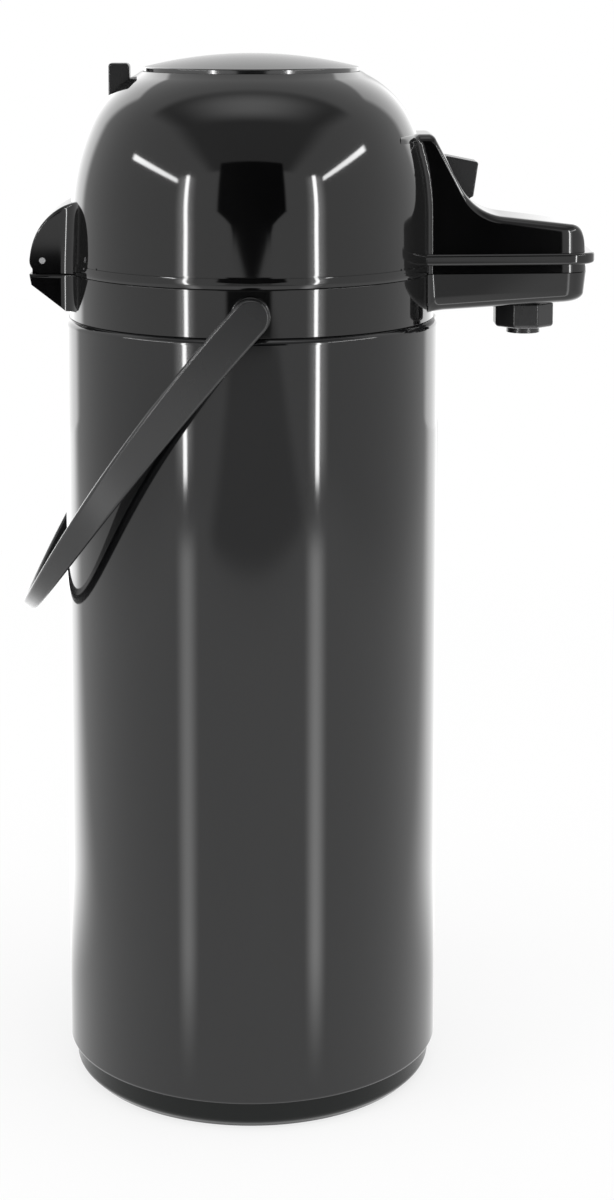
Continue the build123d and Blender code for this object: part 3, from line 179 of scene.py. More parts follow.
class Bench:
    """The modelling steps that the pieces share, each worked as by hand. Sizes are in millimetres."""

    @staticmethod
    def _begin(name: str) -> bpy.types.Object:
        """Names the primitive that was just added and opens it for editing.

        Args:
            name: Name of the piece.

        Returns:
            The piece, in edit mode.
        """
        piece = bpy.context.active_object
        piece.name = piece.data.name = name
        bpy.ops.object.mode_set(mode="EDIT")
        return piece

    @staticmethod
    def _clear() -> None:
        """Leaves edit mode and deselects everything."""
        if bpy.context.object and bpy.context.object.mode == "EDIT":
            bpy.ops.object.mode_set(mode="OBJECT")
        bpy.ops.object.select_all(action="DESELECT")

    @classmethod
    def _close(cls) -> None:
        """Merges doubles, turns the faces outwards and leaves edit mode."""
        bpy.ops.mesh.select_all(action="SELECT")
        bpy.ops.mesh.remove_doubles(threshold=WELD)
        bpy.ops.mesh.normals_make_consistent(inside=False)
        bpy.ops.mesh.select_all(action="DESELECT")
        bpy.ops.object.mode_set(mode="OBJECT")

    @classmethod
    def lathe(cls, name: str, outline: Sequence[Flat], steps: int = 192, turn: float = 360.0,
              start: float = 0.0) -> bpy.types.Object:
        """Extrudes a closed outline of (radius, height) points and spins it round the axis.

        Args:
            name: Name of the piece.
            outline: The closed outline.
            steps: Number of steps of the spin.
            turn: Angle of the spin, in degrees.
            start: Angle at which the spin starts, in degrees.

        Returns:
            The closed solid.
        """
        cls._clear()
        cos, sin = math.cos(math.radians(start)), math.sin(math.radians(start))
        places = [Vector((r * cos, r * sin, z)) * MM for r, z in outline]
        bpy.ops.mesh.primitive_plane_add(size=MM, location=places[0])
        bpy.ops.object.transform_apply(location=True)
        piece = cls._begin(name)
        bpy.ops.mesh.merge(type="CENTER")
        for here, there in zip(places, places[1:] + places[:1]):
            bpy.ops.mesh.extrude_region_move(TRANSFORM_OT_translate={"value": there - here})
        bpy.ops.mesh.select_all(action="SELECT")
        bpy.ops.mesh.remove_doubles(threshold=0.0005 * MM)
        if turn < 360:
            bpy.ops.mesh.edge_face_add()
        bpy.ops.mesh.spin(steps=steps, angle=math.radians(turn), center=(0, 0, 0), axis=(0, 0, 1),
                          use_auto_merge=turn == 360)
        cls._close()
        return piece

    @classmethod
    def loft(cls, name: str, rings: Sequence[Sequence[Point]]) -> bpy.types.Object:
        """Extrudes a ring from station to station and closes both ends.

        Args:
            name: Name of the piece.
            rings: Rings with the same number of points, each in the same order.

        Returns:
            The closed solid.
        """
        cls._clear()
        count = len(rings[0])
        bpy.ops.mesh.primitive_circle_add(vertices=count, radius=MM)
        piece = cls._begin(name)
        sheet = bmesh.from_edit_mesh(piece.data)
        sheet.verts.ensure_lookup_table()
        for vert, place in zip(sheet.verts, rings[0]):
            vert.co = Vector(place) * MM
        order = list(range(count))
        bmesh.update_edit_mesh(piece.data)
        bpy.ops.mesh.select_all(action="SELECT")
        bpy.ops.mesh.edge_face_add()
        bpy.ops.mesh.select_mode(type="EDGE")
        for ring in rings[1:]:
            sheet = bmesh.from_edit_mesh(piece.data)
            sheet.verts.ensure_lookup_table()
            first = len(sheet.verts) - count
            bpy.ops.mesh.extrude_edges_move()
            sheet = bmesh.from_edit_mesh(piece.data)
            sheet.verts.ensure_lookup_table()
            spots: dict[tuple[float, ...], list[int]] = {}
            for vert, spot in zip(sheet.verts[first:first + count], order):
                spots.setdefault(tuple(vert.co), []).append(spot)
            fresh = sheet.verts[first + count:]
            order = [spots[tuple(vert.co)].pop(0) for vert in fresh]
            for vert, spot in zip(fresh, order):
                vert.co = Vector(ring[spot]) * MM
            bmesh.update_edit_mesh(piece.data)
        bpy.ops.mesh.edge_face_add()
        bpy.ops.mesh.select_mode(type="VERT")
        cls._close()
        return piece

    @classmethod
    def prism(cls, name: str, outline: Sequence[Flat], low: float, high: float,
              place: Callable[[float, float, float], Point] = lambda u, v, w: (u, v, w)
              ) -> bpy.types.Object:
        """Extrudes a closed flat outline.

        Args:
            name: Name of the piece.
            outline: The closed outline as (u, v) points.
            low: Where the extrusion starts along its direction.
            high: Where it ends.
            place: Turns (u, v, w) into a place, with w along the extrusion.

        Returns:
            The closed solid.
        """
        return cls.loft(name, [[place(u, v, w) for u, v in outline] for w in (low, high)])

    @classmethod
    def rod(cls, name: str, radius: float, start: Point, end: Point, sides: int = 48) -> bpy.types.Object:
        """A round bar between two points on a line along one of the axes.

        Args:
            name: Name of the piece.
            radius: Its radius.
            start: Middle of one end.
            end: Middle of the other end.
            sides: Number of sides.

        Returns:
            The closed solid.
        """
        a, b = Vector(start), Vector(end)
        axis = (b - a).normalized()
        side = axis.orthogonal().normalized()
        other = axis.cross(side)
        ring = [side * math.cos(2 * math.pi * k / sides) + other * math.sin(2 * math.pi * k / sides)
                for k in range(sides)]
        return cls.loft(name, [[tuple(p + q * radius) for q in ring] for p in (a, b)])

    @classmethod
    def block(cls, name: str, low: Point, high: Point) -> bpy.types.Object:
        """A box between two opposite corners.

        Args:
            name: Name of the piece.
            low: The corner with the lowest values.
            high: The corner with the highest values.

        Returns:
            The closed solid.
        """
        cls._clear()
        size = [b - a for a, b in zip(low, high)]
        middle = [(a + b) / 2 * MM for a, b in zip(low, high)]
        bpy.ops.mesh.primitive_cube_add(size=MM, location=middle)
        piece = bpy.context.active_object
        piece.name = piece.data.name = name
        piece.scale = size
        bpy.ops.object.transform_apply(location=True, scale=True)
        return piece

    @classmethod
    def _pick(cls, piece: bpy.types.Object) -> None:
        """Selects one piece alone and makes it active."""
        cls._clear()
        bpy.context.view_layer.objects.active = piece
        piece.select_set(True)

    @classmethod
    def cut(cls, piece: bpy.types.Object, tool: bpy.types.Object) -> bpy.types.Object:
        """Cuts one solid with another, which is used up.

        Args:
            piece: The solid that stays.
            tool: The solid that is taken away from it.

        Returns:
            The cut solid.
        """
        cls._pick(piece)
        step = piece.modifiers.new("cut", "BOOLEAN")
        step.operation, step.object, step.solver = "DIFFERENCE", tool, "EXACT"
        bpy.ops.object.modifier_apply(modifier=step.name)
        bpy.data.objects.remove(tool)
        return piece

    @classmethod
    def soften(cls, piece: bpy.types.Object, width: float, segments: int = 3,
               angle: float = 35.0) -> bpy.types.Object:
        """Bevels the sharp edges of a piece.

        Args:
            piece: The piece.
            width: Width of the bevel.
            segments: Number of faces across it.
            angle: Smallest angle of an edge that is bevelled, in degrees.

        Returns:
            The piece.
        """
        cls._pick(piece)
        step = piece.modifiers.new("edges", "BEVEL")
        step.width, step.segments = width * MM, segments
        step.limit_method, step.angle_limit = "ANGLE", math.radians(angle)
        step.use_clamp_overlap = True
        bpy.ops.object.modifier_apply(modifier=step.name)
        return piece

    @classmethod
    def join(cls, name: str, parts: Sequence[bpy.types.Object]) -> bpy.types.Object:
        """Joins loose solids into one piece.

        Args:
            name: Name of the joined piece.
            parts: The solids.

        Returns:
            The joined piece.
        """
        cls._clear()
        for part in parts:
            part.select_set(True)
        bpy.context.view_layer.objects.active = parts[0]
        bpy.ops.object.join()
        parts[0].name = parts[0].data.name = name
        return parts[0]

    @classmethod
    def smooth(cls, piece: bpy.types.Object, angle: float = 30.0) -> bpy.types.Object:
        """Shades a piece smooth, and keeps reflections straight on its broad faces.

        Args:
            piece: The piece.
            angle: Smallest angle of an edge that stays sharp, in degrees.

        Returns:
            The piece.
        """
        cls._pick(piece)
        bpy.ops.object.shade_smooth_by_angle(angle=math.radians(angle))
        flat_first = piece.modifiers.new("flat_first", "WEIGHTED_NORMAL")
        flat_first.mode, flat_first.keep_sharp = "FACE_AREA", True
        bpy.ops.object.modifier_apply(modifier=flat_first.name)
        return piece

    @classmethod
    def carried_copy(cls, node: str, name: str) -> bpy.types.Object:
        """Copies a node's mesh, merged, so that it shades smooth.

        Args:
            node: Name of the CAD node.
            name: Name of the copy.

        Returns:
            The copy.
        """
        piece = bpy.data.objects.new(name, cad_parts[node].data.copy())
        bpy.context.scene.collection.objects.link(piece)
        cls._pick(piece)
        bpy.ops.object.mode_set(mode="EDIT")
        bpy.ops.mesh.select_all(action="SELECT")
        bpy.ops.mesh.remove_doubles(threshold=0.002 * MM)
        bpy.ops.object.mode_set(mode="OBJECT")
        bpy.ops.mesh.customdata_custom_splitnormals_clear()
        return cls.smooth(piece)


# Finishes


class Shading:
    """Shared shader groups, each built once."""

    made: dict[str, bpy.types.NodeTree] = {}

    @classmethod
    def _group(cls, name: str, inputs: Sequence[tuple[str, float]],
               outputs: Sequence[str]) -> tuple[bpy.types.NodeTree, bpy.types.Node, bpy.types.Node]:
        """Starts a group with named number inputs and outputs and a vector input for the place.

        Args:
            name: Name of the group.
            inputs: Label and value of each number input.
            outputs: Label of each output.

        Returns:
            The group, its input node and its output node.
        """
        tree = bpy.data.node_groups.new(name, "ShaderNodeTree")
        tree.interface.new_socket("Place", in_out="INPUT", socket_type="NodeSocketVector")
        for label, value in inputs:
            socket = tree.interface.new_socket(label, in_out="INPUT", socket_type="NodeSocketFloat")
            socket.default_value = value
        for label in outputs:
            tree.interface.new_socket(label, in_out="OUTPUT", socket_type="NodeSocketFloat")
        cls.made[name] = tree
        return tree, tree.nodes.new("NodeGroupInput"), tree.nodes.new("NodeGroupOutput")

    @classmethod
    def handling(cls) -> bpy.types.NodeTree:
        """Faint smears from handling and wiping, as a mask from 0 to 1.

        Returns:
            The group.
        """
        if "Handling" in cls.made:
            return cls.made["Handling"]
        tree, given, out = cls._group("Handling", [("Scale", 18.0), ("Spread", 0.5)], ["Smear"])
        stretch = tree.nodes.new("ShaderNodeMapping")
        stretch.inputs["Scale"].default_value = (1.0, 1.0, 0.35)
        cloud = tree.nodes.new("ShaderNodeTexNoise")
        cloud.inputs["Detail"].default_value = 5.0
        cloud.inputs["Roughness"].default_value = 0.6
        shape = tree.nodes.new("ShaderNodeMapRange")
        shape.inputs["From Min"].default_value = 0.42
        shape.inputs["From Max"].default_value = 0.78
        tree.links.new(given.outputs["Place"], stretch.inputs["Vector"])
        tree.links.new(stretch.outputs["Vector"], cloud.inputs["Vector"])
        tree.links.new(given.outputs["Scale"], cloud.inputs["Scale"])
        tree.links.new(given.outputs["Spread"], cloud.inputs["Distortion"])
        tree.links.new(cloud.outputs["Fac"], shape.inputs["Value"])
        tree.links.new(shape.outputs["Result"], out.inputs["Smear"])
        return tree

    @classmethod
    def fade(cls) -> bpy.types.NodeTree:
        """How much of a unit square shows, fading out towards its edges.

        Returns:
            The group.
        """
        if "Fade" in cls.made:
            return cls.made["Fade"]
        tree, given, out = cls._group("Fade", [("Across", 0.1), ("Up", 0.1), ("Taper", 1.0)], ["Share"])
        split, both = tree.nodes.new("ShaderNodeSeparateXYZ"), tree.nodes.new("ShaderNodeMath")
        width, wide = tree.nodes.new("ShaderNodeMapRange"), tree.nodes.new("ShaderNodeMath")
        both.operation, wide.operation = "MULTIPLY", "DIVIDE"
        width.inputs["From Min"].default_value, width.inputs["From Max"].default_value = -0.5, 0.5
        tree.links.new(given.outputs["Place"], split.inputs["Vector"])
        tree.links.new(split.outputs[1], width.inputs["Value"])
        tree.links.new(given.outputs["Taper"], width.inputs["To Min"])
        tree.links.new(split.outputs[0], wide.inputs[0])
        tree.links.new(width.outputs["Result"], wide.inputs[1])
        for i, label in enumerate(("Across", "Up")):
            away, start = tree.nodes.new("ShaderNodeMath"), tree.nodes.new("ShaderNodeMath")
            fall = tree.nodes.new("ShaderNodeMapRange")
            away.operation, start.operation = "ABSOLUTE", "MULTIPLY_ADD"
            fall.interpolation_type = "SMOOTHSTEP"
            start.inputs[1].default_value, start.inputs[2].default_value = -0.5, 0.5
            fall.inputs["From Max"].default_value = 0.5
            fall.inputs["To Min"].default_value, fall.inputs["To Max"].default_value = 1.0, 0.0
            tree.links.new((wide.outputs[0], split.outputs[1])[i], away.inputs[0])
            tree.links.new(given.outputs[label], start.inputs[0])
            tree.links.new(away.outputs[0], fall.inputs["Value"])
            tree.links.new(start.outputs[0], fall.inputs["From Min"])
            tree.links.new(fall.outputs["Result"], both.inputs[i])
        tree.links.new(both.outputs[0], out.inputs["Share"])
        return tree

    @classmethod
    def grain(cls) -> bpy.types.NodeTree:
        """Fine moulded grain as a height from 0 to 1.

        Returns:
            The group.
        """
        if "Grain" in cls.made:
            return cls.made["Grain"]
        tree, given, out = cls._group("Grain", [("Scale", 1400.0)], ["Height"])
        fine = tree.nodes.new("ShaderNodeTexNoise")
        fine.inputs["Detail"].default_value = 3.0
        tree.links.new(given.outputs["Place"], fine.inputs["Vector"])
        tree.links.new(given.outputs["Scale"], fine.inputs["Scale"])
        tree.links.new(fine.outputs["Fac"], out.inputs["Height"])
        return tree


@dataclass(frozen=True)
class Finish:
    """A surface finish: colour, gloss, grain, and how it wears.

    Attributes:
        name: Name of the material.
        slot: The record's slot that it belongs to. Not used.
        color: Base colour, linear.
        roughness: Roughness where clean.
        smear: Roughness that handling adds.
        grain: Height of the moulded grain, in millimetres.
        metallic: 1 for bare metal.
        coat: Strength of a clear coat.
        ior: Index of refraction.
        sheen: Strength of a soft sheen, for rubber.
    """

    name: str
    slot: str
    color: tuple[float, float, float]
    roughness: float
    smear: float = 0.03
    grain: float = 0.0
    metallic: float = 0.0
    coat: float = 0.0
    ior: float = 1.5
    sheen: float = 0.0

    def material(self) -> bpy.types.Material:
        """Builds the material once, and gives it after that.

        Returns:
            The node-based material.
        """
        found = bpy.data.materials.get(self.name)
        if found:
            return found
        made = bpy.data.materials.new(self.name)
        made.use_nodes = True
        nodes, links = made.node_tree.nodes, made.node_tree.links
        shader = nodes["Principled BSDF"]
        shader.inputs["IOR"].default_value = self.ior
        shader.inputs["Metallic"].default_value = self.metallic
        shader.inputs["Coat Weight"].default_value = self.coat
        shader.inputs["Coat Roughness"].default_value = 0.03
        shader.inputs["Sheen Weight"].default_value = self.sheen
        place = nodes.new("ShaderNodeTexCoord").outputs["Object"]
        smear = self._placed(nodes, Shading.handling())
        links.new(place, smear.inputs["Place"])
        rough = nodes.new("ShaderNodeMapRange")
        rough.inputs["To Min"].default_value = self.roughness
        rough.inputs["To Max"].default_value = self.roughness + self.smear
        links.new(smear.outputs["Smear"], rough.inputs["Value"])
        links.new(rough.outputs["Result"], shader.inputs["Roughness"])
        tint = nodes.new("ShaderNodeMix")
        tint.data_type = "RGBA"
        tint.inputs["A"].default_value = (*self.color, 1)
        lighter = [min(1.0, c * 1.12 + 0.0015) for c in self.color]
        tint.inputs["B"].default_value = (*lighter, 1)
        links.new(smear.outputs["Smear"], tint.inputs["Factor"])
        links.new(tint.outputs["Result"], shader.inputs["Base Color"])
        if self.grain:
            grain = self._placed(nodes, Shading.grain())
            links.new(place, grain.inputs["Place"])
            bump = nodes.new("ShaderNodeBump")
            bump.inputs["Distance"].default_value = self.grain * MM
            bump.inputs["Strength"].default_value = 0.6
            links.new(grain.outputs["Height"], bump.inputs["Height"])
            links.new(bump.outputs["Normal"], shader.inputs["Normal"])
        return made

    @staticmethod
    def _placed(nodes: bpy.types.Nodes, tree: bpy.types.NodeTree) -> bpy.types.Node:
        """Places a shared group in a material.

        Args:
            nodes: The nodes of the material.
            tree: The group.

        Returns:
            The node that holds the group.
        """
        node = nodes.new("ShaderNodeGroup")
        node.node_tree = tree
        return node

    def dress(self, piece: bpy.types.Object) -> bpy.types.Object:
        """Gives a piece this finish as its only material.

        Args:
            piece: The piece.

        Returns:
            The piece.
        """
        piece.data.materials.clear()
        piece.data.materials.append(self.material())
        for face in piece.data.polygons:
            face.material_index = 0
        return piece


ENAMEL = Finish("black_enamel_steel", "shell_steel", (0.0028, 0.0029, 0.0033), 0.055, smear=0.02)
GLOSS = Finish("black_gloss_plastic", "dome_plastic", (0.0022, 0.0022, 0.0023), 0.05, smear=0.025)
SATIN = Finish("charcoal_satin_plastic", "trim_plastic", (0.0125, 0.0127, 0.0132), 0.24, smear=0.06,
               grain=0.02)
FOOT = Finish("black_green_satin_plastic", "base_plastic", (0.002, 0.0032, 0.0028), 0.24, smear=0.06,
              grain=0.015, ior=1.31)
BUTTON = Finish("black_soft_gloss_plastic", "dome_plastic", (0.010, 0.0102, 0.0105), 0.11, smear=0.03,
                ior=1.75)
INNER = Finish("off_white_plastic", "inner_plastic", (0.62, 0.61, 0.58), 0.32, smear=0.08, grain=0.01)
SILICONE = Finish("milky_silicone", "silicone", (0.66, 0.66, 0.62), 0.45, smear=0.1, sheen=0.3)
BELLOWS = Finish("black_rubber", "bellows_rubber", (0.02, 0.02, 0.021), 0.5, smear=0.1, sheen=0.2,
                 grain=0.02)
SPRING = Finish("drawn_spring_steel", "spring_steel", (0.56, 0.56, 0.57), 0.24, metallic=1.0)
PIN = Finish("turned_steel", "pin_steel", (0.6, 0.6, 0.61), 0.18, metallic=1.0)
GLASS = Finish("silvered_glass", "flask_glass", (0.78, 0.8, 0.82), 0.06, metallic=1.0, coat=0.6)


def settle(piece: bpy.types.Object, body: Body, finish: Finish, *nodes: str) -> bpy.types.Object:
    """Dresses a piece, makes it ride on its body and stand for its nodes.

    Args:
        piece: The finished mesh, in place.
        body: The body that carries it.
        finish: Its finish.
        nodes: The CAD nodes that it stands for.

    Returns:
        The piece.
    """
    finish.dress(piece)
    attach(piece, body.value)
    if nodes:
        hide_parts(*nodes)
    log.info("%s: %d faces, on %s", piece.name, len(piece.data.polygons), body.value)
    return piece


# Shared sizes of the body and the lid


@dataclass(frozen=True)
class Round:
    """Sizes that more than one sub-assembly shares, in millimetres."""

    shell_r: float = 73.0
    shell_wall: float = 0.8
    shell_top: float = 300.4
    hem: float = 4.8
    hem_gap: float = 0.1
    base_r: float = 70.4
    base_h: float = 10.6
    collar_r: float = 71.0
    collar_top: float = 318.4
    lid_bottom: float = 318.7
    lip_r: float = 71.5
    lip_top: float = 322.3
    pin_x: float = -80.0
    pin_z: float = 323.6
    knuckle_r: float = 4.9


SIZE = Round()


@dataclass
class Dome:
    """The dome's side line from its lip to the rim round the button."""

    waist: Flat = (70.3, 342.0)
    shoulder: Flat = (62.0, 376.3)
    crown: Flat = (44.7, 394.1)
    rim: Flat = (42.3, 395.7)

    def __post_init__(self) -> None:
        """Draws the line."""
        start = (SIZE.collar_r, SIZE.lip_top)
        points = [start]
        for k in range(1, 7):
            t = k / 6
            points.append((start[0] + (self.waist[0] - start[0]) * t,
                           start[1] + (self.waist[1] - start[1]) * t))
        heading = (self.waist[0] - start[0], self.waist[1] - start[1])
        arc, heading = arc_to(self.waist, heading, self.shoulder, 16)
        points += arc
        arc, heading = arc_to(self.shoulder, heading, self.crown, 14)
        points += arc
        self.line: list[Flat] = points
        self.radius = Curve([(z, r) for r, z in points])

    def r(self, z: float) -> float:
        """The dome's outer radius at a height."""
        return self.radius.at(z)


DOME = Dome()


# Sub-assemblies


@dataclass
class Shell:
    """The steel tube and the moulded base below it."""

    top_round: float = 2.4
    foot_round: float = 1.6
    foot_r: float = 67.4
    cap_r: float = 55.8
    base_wall: float = 2.8
    spigot_h: float = 11.4
    rim_h: float = 12.0

    def tube(self) -> bpy.types.Object:
        """The enamelled tube with both rims turned in.

        Returns:
            The finished piece.
        """
        low, high, wall = SIZE.base_h, SIZE.shell_top, SIZE.shell_wall
        hem = SIZE.shell_r - SIZE.hem
        inner = SIZE.shell_r - wall
        outline = rounded([
            (hem, low, 0), (SIZE.shell_r, low, self.foot_round), (SIZE.shell_r, high, self.top_round),
            (hem, high, 0), (hem, high - wall, 0), (inner, high - wall, self.top_round - wall),
            (inner, low + wall, self.foot_round - wall), (hem, low + wall, 0)])
        return Bench.smooth(Bench.lathe("shell_tube", outline, 256), 40)

    def base(self) -> bpy.types.Object:
        """The base ring with its foot and its rim round the bottom cap.

        Returns:
            The finished piece.
        """
        spigot = SIZE.shell_r - SIZE.hem - SIZE.hem_gap
        wall = self.base_wall
        rise = SIZE.base_r - self.foot_r
        outline = rounded([
            (self.cap_r, 0, 0.4), (self.foot_r, 0, 1.2), (SIZE.base_r, rise, 3.0),
            (SIZE.base_r, SIZE.base_h, 0.5), (spigot, SIZE.base_h, 0),
            (spigot, SIZE.base_h + self.spigot_h, 0), (spigot - wall, SIZE.base_h + self.spigot_h, 0),
            (spigot - wall, wall, 0), (self.cap_r + wall, wall, 0), (self.cap_r + wall, self.rim_h, 0),
            (self.cap_r, self.rim_h, 0)])
        return Bench.smooth(Bench.lathe("base_moulding", outline, 224), 40)

    def build(self) -> None:
        """Builds the tube and the base."""
        settle(self.tube(), Body.POT, ENAMEL, "outer_shell")
        settle(self.base(), Body.POT, FOOT, "base_ring")


@dataclass
class SpoutPlan:
    """The spout's outline seen from above, joined to the round body with hollow flares."""

    root_x: float = 68.0
    root_half: float = 22.0
    nose_x: float = 129.8
    nose_half: float = 17.5
    nose_round: float = 10.0
    flare: float = 4.5

    def side(self) -> Curve:
        """Half width over x.

        Returns:
            The curve, from inside the dome to the nose.
        """
        line = rounded([(self.root_x - 20, self.root_half + 20 * self._taper(), 0),
                        (self.nose_x, self.nose_half, self.nose_round), (self.nose_x, 0, 0)], 7,
                       closed=False)
        return Curve(line)

    def _taper(self) -> float:
        """How much the half width falls for each millimetre towards the nose."""
        return (self.root_half - self.nose_half) / (self.nose_x - self.root_x)

    def outline(self, r: float, inset: float = 0.0, sink: float = 1.2) -> list[Flat]:
        """The closed outline at one level, from the body's circle round the nose and back.

        Args:
            r: Radius of the body at that level.
            inset: How much the sides are moved in.
            sink: How far the root lies inside the body.

        Returns:
            The points, with the same number for every inset.
        """
        bend = self.flare + inset
        half = self.root_half - inset
        middle_y = half + bend
        middle_x = math.sqrt((r + bend) ** 2 - middle_y ** 2)
        low = math.atan2(middle_y, middle_x)
        run = Vector((1, -self._taper())).normalized()
        arc_end = math.atan2(-run.x, run.y)
        start = low + math.pi
        turn = (arc_end - start + math.pi) % (2 * math.pi) - math.pi
        upper = [(middle_x + bend * math.cos(start + turn * k / 12),
                  middle_y + bend * math.sin(start + turn * k / 12)) for k in range(13)]
        nose = rounded([(self.root_x, half, 0), (self.nose_x - inset, self.nose_half - inset,
                        max(self.nose_round - inset, 0.5)), (self.nose_x - inset, 0, 0)], 7, closed=False)
        straight = []
        a, b = upper[-1], nose[1]
        for k in range(1, 14):
            straight.append((a[0] + (b[0] - a[0]) * k / 14, a[1] + (b[1] - a[1]) * k / 14))
        half_line = upper + straight + nose[1:-1]
        front = [(self.nose_x - inset, nose[-2][1] * (1 - k / 3)) for k in (1, 2, 3)]
        half_line += front
        root = []
        for k in range(1, 12):
            angle = low - 2 * low * k / 12
            root.append(((r - sink) * math.cos(angle), (r - sink) * math.sin(angle)))
        mirrored = [(x, -y) for x, y in half_line[:-1]][::-1]
        first = ((r - sink) * math.cos(low), (r - sink) * math.sin(low))
        last = (first[0], -first[1])
        return [first] + half_line + mirrored + [last] + root[::-1]


PLAN = SpoutPlan()


@dataclass
class Collar:
    """The moulded collar with its trough, hinge wedge, knuckle and handle pads."""

    wall: float = 2.8
    deck_top: float = 303.4
    deck: float = 2.4
    throat_r: float = 36.0
    throat_low: float = 293.0
    seat_z: float = 295.4
    seat_in: float = 11.0
    spigot_h: float = 8.4
    pipe_half: float = 5.0
    pipe_low: float = 307.2
    root_z: float = 303.9
    nose_z: float = 307.2
    draft: float = 5.0
    bottom_round: float = 4.0
    trough_wall: float = 2.2
    wedge_half: float = 20.0
    wedge_flare: float = 7.0
    wedge_corner: Flat = (-84.2, 314.3)
    wedge_root: Flat = (-71.2, 304.2)
    knuckle_half: float = 13.5
    handle_z: float = 308.6
    pad_r: float = 7.4
    pad_in: float = 69.0
    pad_out: float = 73.7

    def ring(self) -> bpy.types.Object:
        """The ring with its deck, throat and spigot.

        Returns:
            The finished piece.
        """
        r, top = SIZE.collar_r, SIZE.collar_top
        bore, spigot, low = r - self.wall, SIZE.shell_r - SIZE.hem - SIZE.hem_gap, SIZE.shell_top
        deck, throat = self.deck, self.throat_r
        outline = rounded([
            (r, low, 0.35), (r, top, 0.5), (bore, top, 0.4), (bore, self.deck_top, 1.5),
            (throat, self.deck_top, 0.6), (throat, self.seat_z, 0), (throat - self.seat_in, self.seat_z, 0.4),
            (throat - self.seat_in, self.throat_low, 0), (throat + deck, self.throat_low, 0.6),
            (throat + deck, self.deck_top - deck, 1), (spigot - deck, self.deck_top - deck, 0),
            (spigot - deck, low - self.spigot_h, 0), (spigot, low - self.spigot_h, 0), (spigot, low, 0)])
        ring = Bench.lathe("collar_ring", outline, 224)
        slot = Bench.block("slot", (bore - 2, -self.pipe_half, self.pipe_low),
                           (r + 2, self.pipe_half, top + 1))
        return Bench.smooth(Bench.cut(ring, slot), 35)

    def bottom(self, x: float) -> float:
        """Height of the trough's underside at x."""
        slope = (self.nose_z - self.root_z) / (PLAN.nose_x - PLAN.root_x)
        return self.root_z + (x - PLAN.root_x) * slope

    def _trough_rings(self, wall: float, rounding: float, sink: float) -> list[list[Point]]:
        """Rings from the rim down and round into the floor.

        Args:
            wall: How far the rings lie inside the outside face.
            rounding: Radius between the side and the floor.
            sink: How far the root lies inside the collar's ring.

        Returns:
            The rings, each with the same number of points.
        """
        lean = math.tan(math.radians(self.draft))
        depth = SIZE.collar_top - self.root_z
        edge = 1 - rounding / (depth - wall)
        levels = [(edge * k / 5, 0.0) for k in range(6)]
        for k in range(1, 7):
            a = math.pi / 2 * k / 6
            levels.append((edge + (1 - edge) * math.sin(a), rounding * (1 - math.cos(a))))
        rings: list[list[Point]] = []
        for t, pull in levels:
            inset = wall + t * depth * lean + pull
            rings.append([(x, y, SIZE.collar_top - t * (SIZE.collar_top - self.bottom(x) - wall))
                          for x, y in PLAN.outline(SIZE.collar_r, inset, sink)])
        return rings

    def trough(self) -> bpy.types.Object:
        """The lower half of the spout, a drafted trough with a rounded bottom and a slot for the pipe.

        Returns:
            The finished piece.
        """
        inside = self._trough_rings(self.trough_wall, 2.0, -0.4)
        trough = Bench.loft("spout_trough", inside[::-1] + self._trough_rings(0.0, self.bottom_round, 1.2))
        slot = Bench.block("slot", (PLAN.root_x - 2, -self.pipe_half, self.pipe_low),
                           (PLAN.root_x + 7, self.pipe_half, SIZE.collar_top + 1))
        return Bench.smooth(Bench.cut(trough, slot), 32)

    def wedge(self) -> bpy.types.Object:
        """The lower half of the hinge housing, with the knuckle that stands on it.

        Returns:
            The finished piece.
        """
        rear = SIZE.pin_x - SIZE.knuckle_r
        (corner_x, corner_z), root = self.wedge_corner, self.wedge_root
        slope = Curve([self.wedge_corner, root, (-60, root[1])])
        high = Curve([(rear, SIZE.collar_top), (0, SIZE.collar_top)])

        def low(x: float) -> float:
            """Height of the wedge's underside, which rises steeply behind its corner."""
            behind = (SIZE.collar_top - corner_z) * (corner_x - x) / (corner_x - rear)
            return slope.at(x) if x > corner_x else corner_z + 0.9 * behind

        blister = Blister(self.wedge_half, self.wedge_flare, rear, -62.0, edge=0.8)
        wedge = blister.solid("hinge_wedge", low, high.at, lambda z: SIZE.collar_r)
        r = SIZE.knuckle_r - 0.3
        outline = [(SIZE.pin_x - r, SIZE.collar_top - 1)]
        for k in range(25):
            a = math.pi * (1 - k / 24)
            outline.append((SIZE.pin_x + r * math.cos(a), SIZE.pin_z + r * math.sin(a)))
        outline.append((SIZE.pin_x + r, SIZE.collar_top - 1))
        knuckle = Bench.prism("knuckle", outline, -self.knuckle_half, self.knuckle_half,
                              lambda u, v, w: (u, w, v))
        Bench.soften(knuckle, 0.4, 2, 60)
        return Bench.smooth(Bench.join("hinge_wedge", [wedge, knuckle]), 32)

    def pads(self) -> bpy.types.Object:
        """The round pads that the handle turns on.

        Returns:
            The finished piece.
        """
        pads = []
        for side in (-1, 1):
            pad = Bench.rod("pad", self.pad_r, (0, side * self.pad_in, self.handle_z),
                            (0, side * self.pad_out, self.handle_z))
            pads.append(Bench.soften(pad, 0.5, 3, 60))
        return Bench.smooth(Bench.join("handle_pads", pads), 35)

    def build(self) -> None:
        """Builds the collar's pieces."""
        settle(self.ring(), Body.POT, GLOSS, "collar")
        settle(self.trough(), Body.POT, GLOSS)
        settle(self.wedge(), Body.POT, GLOSS)
        settle(self.pads(), Body.POT, GLOSS)


